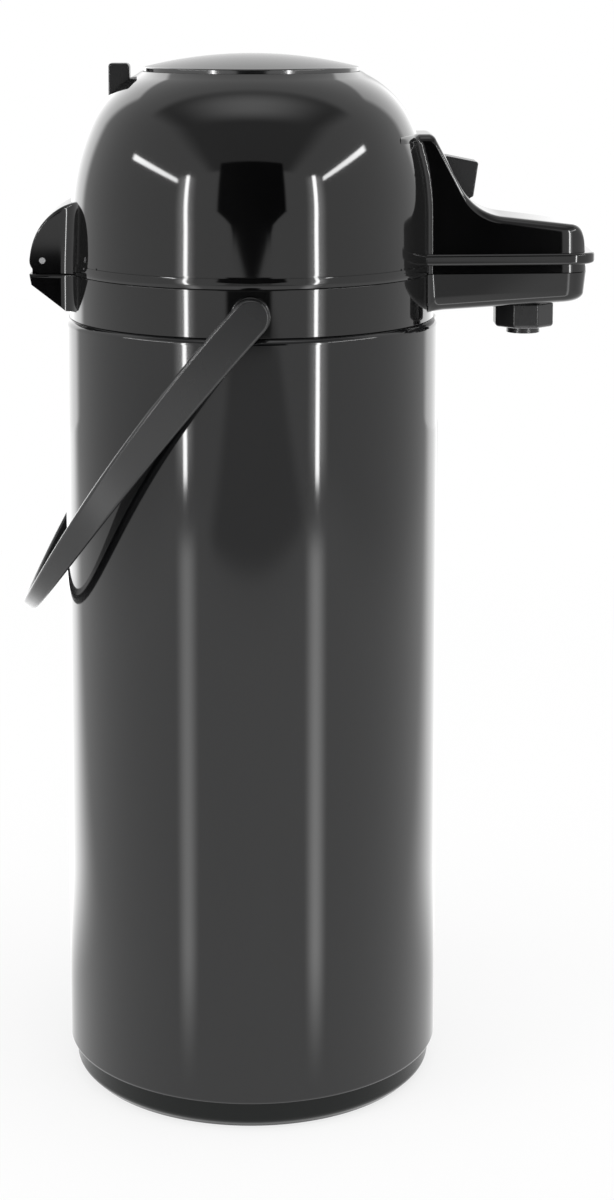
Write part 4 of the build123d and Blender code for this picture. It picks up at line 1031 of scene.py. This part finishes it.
@dataclass
class Blister:
    """A form that stands out of the round body at the rear and meets it with hollow flares."""

    half: float
    flare: float
    rear: float
    front: float
    edge: float = 1.2

    def width(self, x: float, r: float) -> float:
        """Half width of the form.

        Args:
            x: Place along the pot.
            r: Radius of the round body at that level.

        Returns:
            The half width at that place.
        """
        half, bend = self.half, self.flare
        middle_x = -math.sqrt((r + bend) ** 2 - (half + bend) ** 2)
        touch = middle_x * r / (r + bend)
        if x < middle_x:
            return half
        if x < touch:
            return half + bend - math.sqrt(bend ** 2 - (x - middle_x) ** 2)
        return math.sqrt(max(r * r - x * x, 1.0)) - 0.4

    def solid(self, name: str, low: Callable[[float], float], high: Callable[[float], float],
              radius: Callable[[float], float], stations: int = 44) -> bpy.types.Object:
        """Lofts ribs square to X.

        Args:
            name: Name of the piece.
            low: Height of the underside over x.
            high: Height of the top over x.
            radius: Radius of the round body over height.
            stations: Number of ribs.

        Returns:
            The closed solid.
        """
        rings: list[list[Point]] = []
        for i in range(stations + 1):
            t = i / stations
            x = self.front + (self.rear - self.front) * (1 - (1 - t) ** 1.6)
            bottom, top = low(x), high(x)
            top = max(top, bottom + 0.3)
            edge = min(self.edge, (top - bottom) * 0.45)
            half_rib: list[tuple[float, float]] = []
            for k in range(13):
                z = bottom + (top - edge - bottom) * k / 12
                half_rib.append((self.width(x, radius(z)), z))
            side = half_rib[-1][0]
            for k in range(1, 6):
                a = math.pi / 2 * k / 5
                half_rib.append((side - edge * (1 - math.cos(a)), top - edge * (1 - math.sin(a))))
            top_y = half_rib[-1][0]
            half_rib += [(top_y * f, top) for f in (0.75, 0.5, 0.25)]
            right = [(x, y, z) for y, z in half_rib]
            left = [(x, -y, z) for y, z in half_rib][::-1]
            rings.append(right + [(x, 0.0, top)] + left)
        return Bench.loft(name, rings)


@dataclass
class Lid:
    """The domed lid with the upper half of the spout, the flange and the hinge housing."""

    wall: float = 2.4
    lip_swell: float = 0.3
    groove: float = 0.5
    groove_h: float = 0.6
    rim_h: float = 2.8
    rim_back: Flat = (44.0, 391.9)
    slot_r: Flat = (44.9, 57.9)
    slot_z: Flat = (372.0, 405.0)
    slot_turn: float = 39.2
    slot_start: float = 170.4
    room: tuple[Point, Point] = ((-89.8, -13.8, 310.0), (-74.8, 13.8, 330.3))
    cover_draft: float = 6.5
    cover_wall: float = 2.2
    cover_edge: float = 3.4
    cover_x: float = 56.0
    hollow_x: float = 71.6
    flange_z: float = 321.8
    flange_h: float = 4.4
    flange_x: float = 66.0
    rail: float = 4.0
    bead: float = 1.4
    lip_x: float = 133.0
    housing_half: float = 20.0
    housing_flare: float = 7.0
    housing_top: Flat = (-69.1, 345.7)
    pin_bore: float = 1.35
    latch_half: float = 7.3
    latch_low: float = 345.0
    latch_high: float = 369.4
    side_line: Sequence[Corner] = field(default_factory=lambda: [
        (50, 371.6, 0), (69.9, 371.6, 3.0), (85.9, 341.4, 21.0), (128.3, 336.4, 5.5), (128.9, 321.8, 0),
        (129.8, 318.7, 0)])

    def __post_init__(self) -> None:
        """Reads the side of the spout's plan once."""
        self._plan = PLAN.side()

    def dome(self) -> bpy.types.Object:
        """The dome with its lip, hollow inside, with the slot of the lock tab cut through.

        Returns:
            The finished piece.
        """
        outer = DOME.line
        inner = offset(outer, self.wall)
        rim = rounded([outer[-1] + (0,), (*DOME.rim, 0.35),
                       (DOME.rim[0], DOME.rim[1] - self.rim_h, 0), (*self.rim_back, 0)], 20, closed=False)
        foot, groove_top = SIZE.lid_bottom - 0.15, SIZE.lip_top + self.groove_h
        outline = [(SIZE.collar_r - self.wall, foot)]
        outline += [(SIZE.lip_r - self.lip_swell * (k / 4 - 1) ** 2, foot + (SIZE.lip_top - foot) * k / 8)
                    for k in range(9)]
        outline += [(SIZE.collar_r - self.groove, SIZE.lip_top), (SIZE.collar_r - self.groove, groove_top),
                    (DOME.r(groove_top), groove_top + 0.04)]
        outline += [point for point in outer[:-1] if point[1] > groove_top + 0.1] + rim + inner[::-1][1:]
        dome = Bench.lathe("lid_dome", outline, 256)
        (near, far), (low, high) = self.slot_r, self.slot_z
        slot = Bench.lathe("slot", [(near, low), (far, low), (far, high), (near, high)], 24,
                           self.slot_turn, self.slot_start)
        dome = Bench.cut(dome, slot)
        room = Bench.block("room", *self.room)
        return Bench.smooth(Bench.cut(dome, room), 35)

    def _cover_width(self, x: float, z: float, inset: float) -> float:
        """Half width of the cover, with the flare to the dome.

        Args:
            x: Place along the spout.
            z: Height.
            inset: How much the sides are moved in.

        Returns:
            The half width at that place.
        """
        lean = (z - SIZE.lid_bottom) * math.tan(math.radians(self.cover_draft))
        r = DOME.r(z)
        straight = self._plan.at(x) - lean - inset
        half = self._plan.at(PLAN.root_x + 6) - lean - inset
        bend = PLAN.flare + inset
        middle_x = math.sqrt((r + bend) ** 2 - (half + bend) ** 2)
        touch = middle_x * r / (r + bend)
        if x >= middle_x:
            return straight
        if x >= touch:
            return max(straight, half + bend - math.sqrt(bend ** 2 - (x - middle_x) ** 2))
        return math.sqrt(max(r * r - x * x, 1.0)) - 0.35

    def _cover_rings(self, inset: float, start: float) -> list[list[Point]]:
        """Ribs of the cover square to X, from the dome to the nose.

        Args:
            inset: How far the ribs lie inside the outside face.
            start: Where the first rib may stand.

        Returns:
            The ribs, each with the same number of points.
        """
        line = rounded(self.side_line, 5, closed=False)
        if inset:
            line = offset(line, -inset)
        stations: list[Flat] = []
        for a, b in zip(line, line[1:]):
            span = math.dist(a, b)
            parts = max(1, math.ceil(span / (0.5 if a[0] < 77 else 1.6)))
            stations += [(a[0] + (b[0] - a[0]) * k / parts, a[1] + (b[1] - a[1]) * k / parts)
                         for k in range(parts)]
        stations.append(line[-1])
        rings = []
        last_x = -1e9
        for x, top in stations:
            if x < start or x < last_x + 0.02 or top < SIZE.lid_bottom + 0.25 * (not inset):
                continue
            last_x = x
            bottom = SIZE.lid_bottom - (6.0 if inset else 0.0)
            top = max(top, SIZE.lid_bottom + 0.3)
            edge = min(self.cover_edge if not inset else 0.5, (top - SIZE.lid_bottom) * 0.4)
            rib: list[tuple[float, float]] = []
            for k in range(17):
                z = bottom + (top - edge - bottom) * k / 16
                rib.append((max(self._cover_width(x, z, inset), 0.5), z))
            side = rib[-1][0]
            edge = min(edge, side * 0.8)
            for k in range(1, 7):
                a = math.pi / 2 * k / 6
                rib.append((side - edge * (1 - math.cos(a)), top - edge * (1 - math.sin(a))))
            rib += [(rib[-1][0] * f, top) for f in (0.8, 0.6, 0.4, 0.2)]
            right = [(x, y, z) for y, z in rib]
            rings.append(right + [(x, 0.0, top)] + [(x, -y, z) for _, y, z in right][::-1])
        return rings

    def cover(self) -> bpy.types.Object:
        """The upper half of the spout, hollow below, with the recess of the latch.

        Returns:
            The finished piece.
        """
        cover = Bench.loft("spout_cover", self._cover_rings(0.0, self.cover_x))
        hollow = Bench.loft("hollow", self._cover_rings(self.cover_wall, self.hollow_x))
        cover = Bench.cut(cover, hollow)
        recess = Bench.block("recess", (self.hollow_x, -self.latch_half, self.latch_low),
                             (100, self.latch_half, self.latch_high))
        return Bench.smooth(Bench.cut(cover, recess), 32)

    def flange(self) -> bpy.types.Object:
        """The bead round the spout that widens to a lip at the nose.

        Returns:
            The finished piece.
        """
        taper = (PLAN.root_half - PLAN.nose_half) / (PLAN.nose_x - PLAN.root_x)
        root = PLAN.root_half + self.bead + taper * 2
        nose = PLAN.nose_half + self.bead
        lip_round = PLAN.nose_round + 1.2
        outline = rounded([(self.flange_x, -root, 0), (self.lip_x, -nose, lip_round),
                           (self.lip_x, nose, lip_round), (self.flange_x, root, 0)], 6)
        flange = Bench.prism("spout_flange", outline, self.flange_z, self.flange_z + self.flange_h)
        start = self.flange_x - 6
        hollow = rounded([(start, -root + self.rail, 0), (self.lip_x - 6, -nose + 4.4, 8),
                          (self.lip_x - 6, nose - 4.4, 8), (start, root - self.rail, 0)], 10)
        flange = Bench.cut(flange, Bench.prism("hollow", hollow, 300, 340))
        return Bench.smooth(Bench.soften(flange, 1.1, 4, 50), 40)

    def housing(self) -> bpy.types.Object:
        """The hinge housing: a rounded back over two cheeks, open below for the knuckle.

        Returns:
            The finished piece.
        """
        rear, pin_z, r = SIZE.pin_x - SIZE.knuckle_r, SIZE.pin_z, SIZE.knuckle_r
        back, _ = arc_to((rear, pin_z), (0, 1), self.housing_top, 16)
        top = Curve([(rear, pin_z)] + back + [(-56.0, 350.0)])

        def low(x: float) -> float:
            """Height of the cheeks' underside."""
            if x > SIZE.pin_x:
                return SIZE.lid_bottom
            return pin_z - math.sqrt(max(r * r - (x - SIZE.pin_x) ** 2, 0))

        blister = Blister(self.housing_half, self.housing_flare, rear, -58.0, edge=1.6)
        housing = blister.solid("hinge_housing", low, top.at, DOME.r)
        room = Bench.block("room", *self.room)
        housing = Bench.cut(housing, room)
        bore = Bench.rod("bore", self.pin_bore, (SIZE.pin_x, -40, pin_z), (SIZE.pin_x, 40, pin_z), 32)
        return Bench.smooth(Bench.cut(housing, bore), 32)

    def build(self) -> None:
        """Builds the lid's pieces."""
        settle(self.dome(), Body.LID, GLOSS, "lid_shell")
        settle(self.cover(), Body.LID, GLOSS)
        settle(self.flange(), Body.LID, GLOSS)
        settle(self.housing(), Body.LID, GLOSS)


@dataclass
class Pump:
    """The push button with its crown and skirt."""

    r: float = 41.6
    edge_z: float = 397.1
    top_z: float = 402.3
    skirt_z: float = 374.4
    wall: float = 2.2

    def button(self) -> bpy.types.Object:
        """The crowned button, hollow below.

        Returns:
            The finished piece.
        """
        rise = self.top_z - self.edge_z
        sphere = (self.r ** 2 + rise ** 2) / (2 * rise)
        crown = [(0.02, self.top_z)]
        for k in range(1, 25):
            x = (self.r - 1.0) * k / 24
            crown.append((x, self.top_z - sphere + math.sqrt(sphere ** 2 - x * x)))
        edge = rounded([crown[-1] + (0,), (self.r, self.edge_z + 0.1, 0.7), (self.r, 390, 0)], 15,
                       closed=False)
        inner = self.r - self.wall
        outline = crown + edge[1:] + [(self.r, self.skirt_z), (inner, self.skirt_z),
                                      (inner, self.edge_z - self.wall), (0.02, self.edge_z - 1.0)]
        return Bench.smooth(Bench.lathe("button_crown", outline, 192), 40)

    def build(self) -> None:
        """Builds the button."""
        settle(self.button(), Body.BUTTON, BUTTON, "push_button")


@dataclass
class Lock:
    """The lock ring and the tab that stands out of the dome."""

    inner_r: float = 44.2
    ring_r: float = 50.0
    low: float = 383.0
    high: float = 386.0
    tab_in: float = 47.1
    tab_out: float = 55.2
    half: float = 4.6
    top: float = 398.5

    def build(self) -> None:
        """Builds the ring and the tab as one piece."""
        ring = Bench.lathe("ring", rounded([
            (self.inner_r, self.low, 0.3), (self.ring_r, self.low, 0.3), (self.ring_r, self.high, 0.3),
            (self.inner_r, self.high, 0.3)], 45), 128)
        outline = rounded([(-self.tab_out, self.low, 0), (-self.tab_in, self.low, 0),
                           (-self.tab_in, self.top, 1.6), (-self.tab_out, self.top, 1.2)], 15)
        tab = Bench.prism("tab", outline, -self.half, self.half, lambda u, v, w: (u, w, v))
        Bench.soften(tab, 0.6, 3, 60)
        piece = Bench.smooth(Bench.join("lock_tab", [ring, tab]), 32)
        settle(piece, Body.LOCK, SATIN, "lock_ring")


@dataclass
class Latch:
    """The thumb latch on the slope of the spout's neck."""

    half: float = 7.0
    thumb: Sequence[Corner] = ((74.8, 363.0, 1.0), (87.8, 360.4, 0.9), (85.9, 347.2, 0.8),
                               (83.7, 346.0, 0.8), (75.2, 347.1, 0), (74.0, 354.0, 0))

    def build(self) -> None:
        """Builds the thumb wedge, and keeps the legs and hub as they are."""
        thumb = Bench.prism("thumb", rounded(self.thumb, 15), -self.half, self.half,
                            lambda u, v, w: (u, w, v))
        Bench.soften(thumb, 0.5, 3, 60)
        legs = Bench.carried_copy("latch_lever", "legs")
        inner = Bench.block("inner", (60, -self.half - 0.02, 340), (100, self.half + 0.02, 370))
        legs = Bench.cut(legs, inner)
        piece = Bench.smooth(Bench.join("latch_thumb", [thumb, legs]), 32)
        settle(piece, Body.LATCH, SATIN, "latch_lever")


@dataclass
class Nozzle:
    """The eight-sided cap and the outlet tube under the spout's nose."""

    x: float = 106.3
    cap_r: float = 12.2
    low: float = 296.0
    high: float = 305.4
    tube_r: float = 6.5
    chamfer: float = 0.9

    def cap(self) -> bpy.types.Object:
        """The cap, with its lower edge chamfered and a round bore.

        Returns:
            The finished piece.
        """
        ring = [(self.cap_r * math.cos(math.pi / 8 + math.pi / 4 * k),
                 self.cap_r * math.sin(math.pi / 8 + math.pi / 4 * k)) for k in range(8)]
        small = [(x * 0.93, y * 0.93) for x, y in ring]
        cap = Bench.loft("nozzle_collar", [
            [(self.x + x, y, self.low) for x, y in small],
            [(self.x + x, y, self.low + self.chamfer) for x, y in ring],
            [(self.x + x, y, self.high) for x, y in ring]])
        Bench.soften(cap, 0.5, 3, 20)
        bore = Bench.rod("bore", self.tube_r + 0.05, (self.x, 0, 280), (self.x, 0, 320), 64)
        return Bench.smooth(Bench.cut(cap, bore), 28)

    def build(self) -> None:
        """Builds the cap and copies the outlet tube."""
        settle(self.cap(), Body.POT, SATIN, "nozzle_cap")
        settle(Bench.carried_copy("outlet_tube", "outlet_spigot"), Body.POT, SATIN, "outlet_tube")


@dataclass
class Handle:
    """The bail handle: a bowed strap in a half ellipse, with round ends and studs."""

    pivot_z: float = 308.6
    half: float = 76.3
    reach: float = 150.0
    hang: float = 54.5
    thick: float = 4.6
    eye_r: float = 7.0
    stud_r: float = 5.0
    stud_in: float = 60.6
    top: Sequence[Flat] = ((0.0, 7.0), (75.0, 10.2), (154.6, 2.5))
    bottom: Sequence[Flat] = ((0.0, -7.0), (75.0, -1.8), (154.6, -2.5))
    edge: float = 1.3

    @staticmethod
    def _through(points: Sequence[Flat], t: float) -> float:
        """Height of the circle through three points, at t.

        Args:
            points: The three points, as distance along the strap and height.
            t: Distance along the strap.

        Returns:
            The height there.
        """
        (x1, y1), (x2, y2), (x3, y3) = points
        d = 2 * (x1 * (y2 - y3) + x2 * (y3 - y1) + x3 * (y1 - y2))
        s1, s2, s3 = x1 * x1 + y1 * y1, x2 * x2 + y2 * y2, x3 * x3 + y3 * y3
        cx = (s1 * (y2 - y3) + s2 * (y3 - y1) + s3 * (y1 - y2)) / d
        cy = (s1 * (x3 - x2) + s2 * (x1 - x3) + s3 * (x2 - x1)) / d
        r = math.dist((x1, y1), (cx, cy))
        reach = math.sqrt(max(r * r - (t - cx) ** 2, 0))
        return cy + reach if y2 > cy else cy - reach

    def _place(self, t: float, y: float, n: float) -> Point:
        """Turns strap coordinates into a place at the rest angle.

        Args:
            t: Distance from the pivot along the strap.
            y: Place across the pot.
            n: Height square to the strap.

        Returns:
            The place.
        """
        a = math.radians(self.hang)
        return (-t * math.cos(a) - n * math.sin(a), y, self.pivot_z - t * math.sin(a) + n * math.cos(a))

    def strap(self) -> bpy.types.Object:
        """The strap, lofted round the half ellipse from one eye to the other.

        Returns:
            The closed solid.
        """
        path: list[tuple[float, float, float, float]] = []
        for k in range(9):
            a = math.pi / 2 * (1 - k / 8)
            path.append((-self.eye_r * math.sin(a) * 0.999, -self.half, 0.0, -1.0))
        for k in range(1, 128):
            a = math.pi * k / 128
            t, y = self.reach * math.sin(a), -self.half * math.cos(a)
            nt, ny = math.sin(a) / self.reach, -math.cos(a) / self.half
            size = math.hypot(nt, ny)
            path.append((t, y, nt / size, ny / size))
        path += [(t, -y, nt, -ny) for t, y, nt, ny in path[:9]][::-1]
        rings = []
        for t, y, nt, ny in path:
            if t <= 0:
                high = math.sqrt(max(self.eye_r ** 2 - t * t, 0.02))
                low = -high
            else:
                high, low = self._through(self.top, t), self._through(self.bottom, t)
            half = self.thick / 2
            edge = min(self.edge, (high - low) * 0.4)
            section = rounded([(-half, low, edge), (half, low, edge), (half, high, edge),
                               (-half, high, edge)], 30)
            rings.append([self._place(t + nt * u, y + ny * u, n) for u, n in section])
        return Bench.loft("strap", rings)

    def build(self) -> None:
        """Builds the strap and its studs as one piece."""
        parts = [self.strap()]
        for side in (-1, 1):
            parts.append(Bench.rod("stud", self.stud_r, (0, side * self.stud_in, self.pivot_z),
                                   (0, side * (self.half - 1), self.pivot_z)))
        piece = Bench.smooth(Bench.join("bail_strap", parts), 38)
        settle(piece, Body.HANDLE, SATIN, "bail_handle")


@dataclass
class Inside:
    """The pieces inside the pot and the lid, which keep their own meshes."""

    finishes: dict[str, Finish] = field(default_factory=lambda: {
        "bottom_cap": FOOT, "flask_cushion": SILICONE, "glass_flask": GLASS, "neck_gasket": SILICONE,
        "tube_holder": INNER, "dip_tube": INNER, "pour_pipe": INNER, "pipe_joint": SILICONE,
        "hinge_pin": PIN, "lid_base": INNER, "inner_lid": INNER, "lid_gasket": SILICONE,
        "air_valve": SILICONE, "lid_screws": PIN, "guide_sleeve": INNER, "bellows": BELLOWS,
        "return_spring": SPRING, "pump_plate": INNER, "latch_pin": PIN, "latch_spring": SPRING})

    def build(self) -> None:
        """Gives each node its finish."""
        for node, finish in self.finishes.items():
            finish.dress(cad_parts[node])
            log.info("%s: %s", node, finish.name)


# Studio


@dataclass(frozen=True)
class Card:
    """A flat studio panel or flag that only shows in reflections, with soft edges.

    Attributes:
        name: Name of the card.
        middle: Its middle, in metres.
        across: Its full width, as a vector.
        up: Its full height, as a vector.
        light: Its brightness, where 1 is white and 0 is black.
        soft: How much of the half width and of the half height fades out.
        taper: Width of its lower end, as a share of its full width.
    """

    name: str
    middle: Sequence[float]
    across: Sequence[float]
    up: Sequence[float]
    light: float
    soft: Flat = (0.1, 0.1)
    taper: float = 1.0

    def build(self) -> None:
        """Builds the card, which only glossy rays see."""
        bpy.ops.object.select_all(action="DESELECT")
        bpy.ops.mesh.primitive_plane_add(size=1)
        card = bpy.context.active_object
        card.name = card.data.name = self.name
        for vert in card.data.vertices:
            vert.co.x *= self.taper if vert.co.y < 0 else 1
        across, up = Vector(self.across), Vector(self.up)
        columns = (across, up, across.cross(up).normalized(), Vector(self.middle))
        card.matrix_world = Matrix([[c[row] for c in columns] for row in range(3)] + [[0, 0, 0, 1]])
        glow = bpy.data.materials.new(self.name)
        glow.use_nodes = True
        nodes, links = glow.node_tree.nodes, glow.node_tree.links
        shader, fade = nodes["Principled BSDF"], nodes.new("ShaderNodeGroup")
        shader.inputs["Base Color"].default_value = (0, 0, 0, 1)
        shader.inputs["Specular IOR Level"].default_value = 0.0
        shader.inputs["Emission Color"].default_value = (1, 1, 1, 1)
        shader.inputs["Emission Strength"].default_value = self.light
        fade.node_tree = Shading.fade()
        fade.inputs["Across"].default_value, fade.inputs["Up"].default_value = self.soft
        fade.inputs["Taper"].default_value = self.taper
        links.new(nodes.new("ShaderNodeTexCoord").outputs["Object"], fade.inputs["Place"])
        links.new(fade.outputs["Share"], shader.inputs["Alpha"])
        card.data.materials.append(glow)
        card.visible_camera = card.visible_diffuse = card.visible_shadow = False
        card.visible_transmission = card.visible_volume_scatter = False


@dataclass(frozen=True)
class Flank:
    """What differs between the cards on the left and those on the right.

    Attributes:
        label: Name of the side.
        side: -1 on the left, 1 on the right.
        bar_y: Where the bar starts, towards the camera.
        bar_end: Where the bar ends, out to the side and back.
        bar_z: Height of the bar.
        glow: Brightness of the strip on the floor.
        wall: Brightness of the panel behind.
        ground: Brightness of the ground behind.
    """

    label: str
    side: int
    bar_y: float
    bar_end: Flat
    bar_z: float
    glow: float
    wall: float
    ground: float


FLANKS = (Flank("left", -1, -0.812, (0.92, -0.05), 0.706, 3.3, 2.8, 3.0),
          Flank("right", 1, -0.823, (0.824, -0.05), 0.733, 4.0, 2.3, 2.1))


@dataclass
class Studio:
    """A pale floor, an even white surround, soft lamps and the camera."""

    surround: float = 1.0
    fill: float = 0.62
    floor_half: float = 6.0
    focal: float = 72.41
    shift: Flat = (0.0225, -0.28)
    eye: Point = (0.00705, -0.938, 0.423)
    pitch: float = 6.26
    pan: float = -0.244

    def world(self) -> None:
        """A surround that looks white, and lights at a plain level."""
        world = bpy.data.worlds.new("surround")
        bpy.context.scene.world = world
        world.use_nodes = True
        nodes, links = world.node_tree.nodes, world.node_tree.links
        nodes.clear()
        path, mix = nodes.new("ShaderNodeLightPath"), nodes.new("ShaderNodeMixShader")
        seen, lit = nodes.new("ShaderNodeBackground"), nodes.new("ShaderNodeBackground")
        out = nodes.new("ShaderNodeOutputWorld")
        seen.inputs["Color"].default_value = (1, 1, 1, 1)
        seen.inputs["Strength"].default_value = self.surround
        lit.inputs["Color"].default_value = (1, 1, 1, 1)
        lit.inputs["Strength"].default_value = self.fill
        either = nodes.new("ShaderNodeMath")
        either.operation = "MAXIMUM"
        more = nodes.new("ShaderNodeMath")
        more.operation = "MAXIMUM"
        links.new(path.outputs["Is Camera Ray"], either.inputs[0])
        links.new(path.outputs["Is Glossy Ray"], either.inputs[1])
        links.new(either.outputs[0], more.inputs[0])
        links.new(path.outputs["Is Transmission Ray"], more.inputs[1])
        links.new(more.outputs[0], mix.inputs["Fac"])
        links.new(lit.outputs[0], mix.inputs[1])
        links.new(seen.outputs[0], mix.inputs[2])
        links.new(mix.outputs[0], out.inputs["Surface"])

    def floor(self) -> None:
        """A white floor that keeps the pot's shadow near it and runs into the surround further off."""
        bpy.ops.object.select_all(action="DESELECT")
        bpy.ops.mesh.primitive_plane_add(size=2 * self.floor_half, location=(0, 0, -0.0002))
        floor = bpy.context.active_object
        floor.name = "floor"
        paint = bpy.data.materials.new("floor_paint")
        paint.use_nodes = True
        nodes, links = paint.node_tree.nodes, paint.node_tree.links
        matte = nodes["Principled BSDF"]
        matte.inputs["Base Color"].default_value = (0.98, 0.98, 0.98, 1)
        matte.inputs["Roughness"].default_value = 0.85
        matte.inputs["Specular IOR Level"].default_value = 0.1
        glow, mix = nodes.new("ShaderNodeEmission"), nodes.new("ShaderNodeMixShader")
        path, place = nodes.new("ShaderNodeLightPath"), nodes.new("ShaderNodeTexCoord")
        length, far = nodes.new("ShaderNodeVectorMath"), nodes.new("ShaderNodeMapRange")
        either, share = nodes.new("ShaderNodeMath"), nodes.new("ShaderNodeMath")
        length.operation, either.operation, share.operation = "LENGTH", "MAXIMUM", "MULTIPLY"
        far.inputs["From Min"].default_value, far.inputs["From Max"].default_value = 0.1, 0.9
        far.inputs["To Min"].default_value, far.inputs["To Max"].default_value = 0.78, 1.0
        links.new(place.outputs["Object"], length.inputs[0])
        links.new(length.outputs["Value"], far.inputs["Value"])
        links.new(path.outputs["Is Camera Ray"], either.inputs[0])
        links.new(path.outputs["Is Glossy Ray"], either.inputs[1])
        links.new(either.outputs[0], share.inputs[0])
        links.new(far.outputs["Result"], share.inputs[1])
        links.new(share.outputs[0], mix.inputs["Fac"])
        links.new(matte.outputs[0], mix.inputs[1])
        links.new(glow.outputs[0], mix.inputs[2])
        links.new(mix.outputs[0], nodes["Material Output"].inputs["Surface"])
        floor.data.materials.append(paint)

    def lamps(self) -> None:
        """Two broad soft lamps, above and to the side."""
        for name, place, aim, size, power in (
                ("lamp_above", (0.3, -0.5, 1.9), (0, 0, 0.2), 1.6, 16.0),
                ("lamp_side", (-1.6, -1.0, 1.1), (0, 0, 0.2), 1.2, 8.0)):
            light = bpy.data.lights.new(name, "AREA")
            light.size, light.energy = size, power
            lamp = bpy.data.objects.new(name, light)
            bpy.context.scene.collection.objects.link(lamp)
            lamp.location = place
            lamp.rotation_euler = (Vector(aim) - Vector(place)).to_track_quat("-Z", "Y").to_euler()
            lamp.visible_glossy = False

    def cards(self) -> None:
        """Strips, bars, panels and flags that the gloss reflects."""
        for flank in FLANKS:
            side, label = flank.side, flank.label
            foot, head = Vector((side * 0.71, -0.91, 0.02)), Vector((side * 0.766, -0.86, 0.78))
            middle, up = (foot + head) / 2, head - foot
            across = Vector((0.772, side * 0.636, 0))
            Card(f"halo_{label}", middle + Vector((side * 0.03, -0.02, 0)), across * 0.3, up * 1.05, 4.0,
                 (1.0, 0.15)).build()
            Card(f"strip_{label}", middle, across * 0.056, up, 26.0, (0.3, 0.04)).build()
            near = Vector((side * 0.847, flank.bar_y, flank.bar_z))
            far = Vector((side * flank.bar_end[0], flank.bar_end[1], flank.bar_z))
            Card(f"bar_{label}", (near + far) / 2, far - near, (0, 0, 0.05), 20.0, (0.15, 0.4)).build()
            away = Vector((side * 0.636, -0.772, 0))
            Card(f"floor_strip_{label}", Vector((side * 0.024, -0.069, 0.003)) + away * 0.54, across * 0.31,
                 away * 1.04, flank.glow, (1.0, 0.3), 0.04).build()
            back = Vector((side * 0.515, 0.857, 0))
            Card(f"wall_{label}", back * 1.45 + Vector((0, 0, 0.7)), (1.03, -side * 0.62, 0), (0, 0, 1.9),
                 flank.wall, (0.4, 0.15)).build()
            Card(f"ground_{label}", back * 0.85 + Vector((0, 0, 0.002)), (0.95, -side * 0.57, 0), back * 1.5,
                 flank.ground, (0.6, 0.2), 0.38).build()
        Card("ground", (0, 0, 0.001), (2.3, 0, 0), (0, 2.3, 0), 1.22, (0.4, 0.4)).build()
        Card("far_floor", (0.08, -1.65, 0.002), (1.2, 0, 0), (0, 1.5, 0), 0.62, (0.3, 0.15)).build()
        Card("flag", (0.012, -1.25, 0.76), (1.0, 0, 0), (0, 0, 0.62), 0.0, (0.1, 0.06)).build()
        Card("flag_tip", (0.012, -1.26, 0.386), (1.04, 0, 0), (0, 0, 0.172), 0.0, (0.1, 0.02), 0.5).build()
        Card("flag_point", (0.012, -1.25, 0.279), (0.48, 0, 0), (0, 0, 0.05), 0.0, (0.15, 0.02), 0.04).build()
        Card("flag_foot", (-0.03, -1.25, 0.165), (0.66, 0, 0), (0, 0, 0.08), 0.0, (0.2, 0.2)).build()
        Card("ceiling", (0, -1.4, 1.8), (3.6, 0, 0), (0, 3.4, 0), 0.4, (0.35, 0.16)).build()
        Card("lamp_over", (0, -0.4, 1.75), (2.3, 0, 0), (0, 1.3, 0), 1.8, (1.0, 0.9)).build()

    def camera(self) -> None:
        """The camera at the photograph's viewing angle."""
        lens = bpy.data.cameras.new("camera")
        lens.lens, lens.sensor_width = self.focal, 36.0
        lens.shift_x, lens.shift_y = self.shift
        lens.clip_end = 50
        camera = bpy.data.objects.new("camera", lens)
        bpy.context.scene.collection.objects.link(camera)
        camera.location = self.eye
        camera.rotation_euler = (math.radians(90 - self.pitch), 0, math.radians(self.pan))
        bpy.context.scene.camera = camera

    def build(self) -> None:
        """Sets up the studio."""
        bpy.context.scene.view_settings.view_transform = "Standard"
        self.world()
        self.floor()
        self.lamps()
        self.cards()
        self.camera()


def main() -> None:
    """Builds the airpot and its studio."""
    logging.basicConfig(level=logging.INFO, format="%(name)s: %(message)s")
    for part in (Inside(), Shell(), Collar(), Lid(), Pump(), Lock(), Latch(), Nozzle(), Handle()):
        part.build()
        log.info("%s done", type(part).__name__)
    Studio().build()


if __name__ == "__main__":
    main()
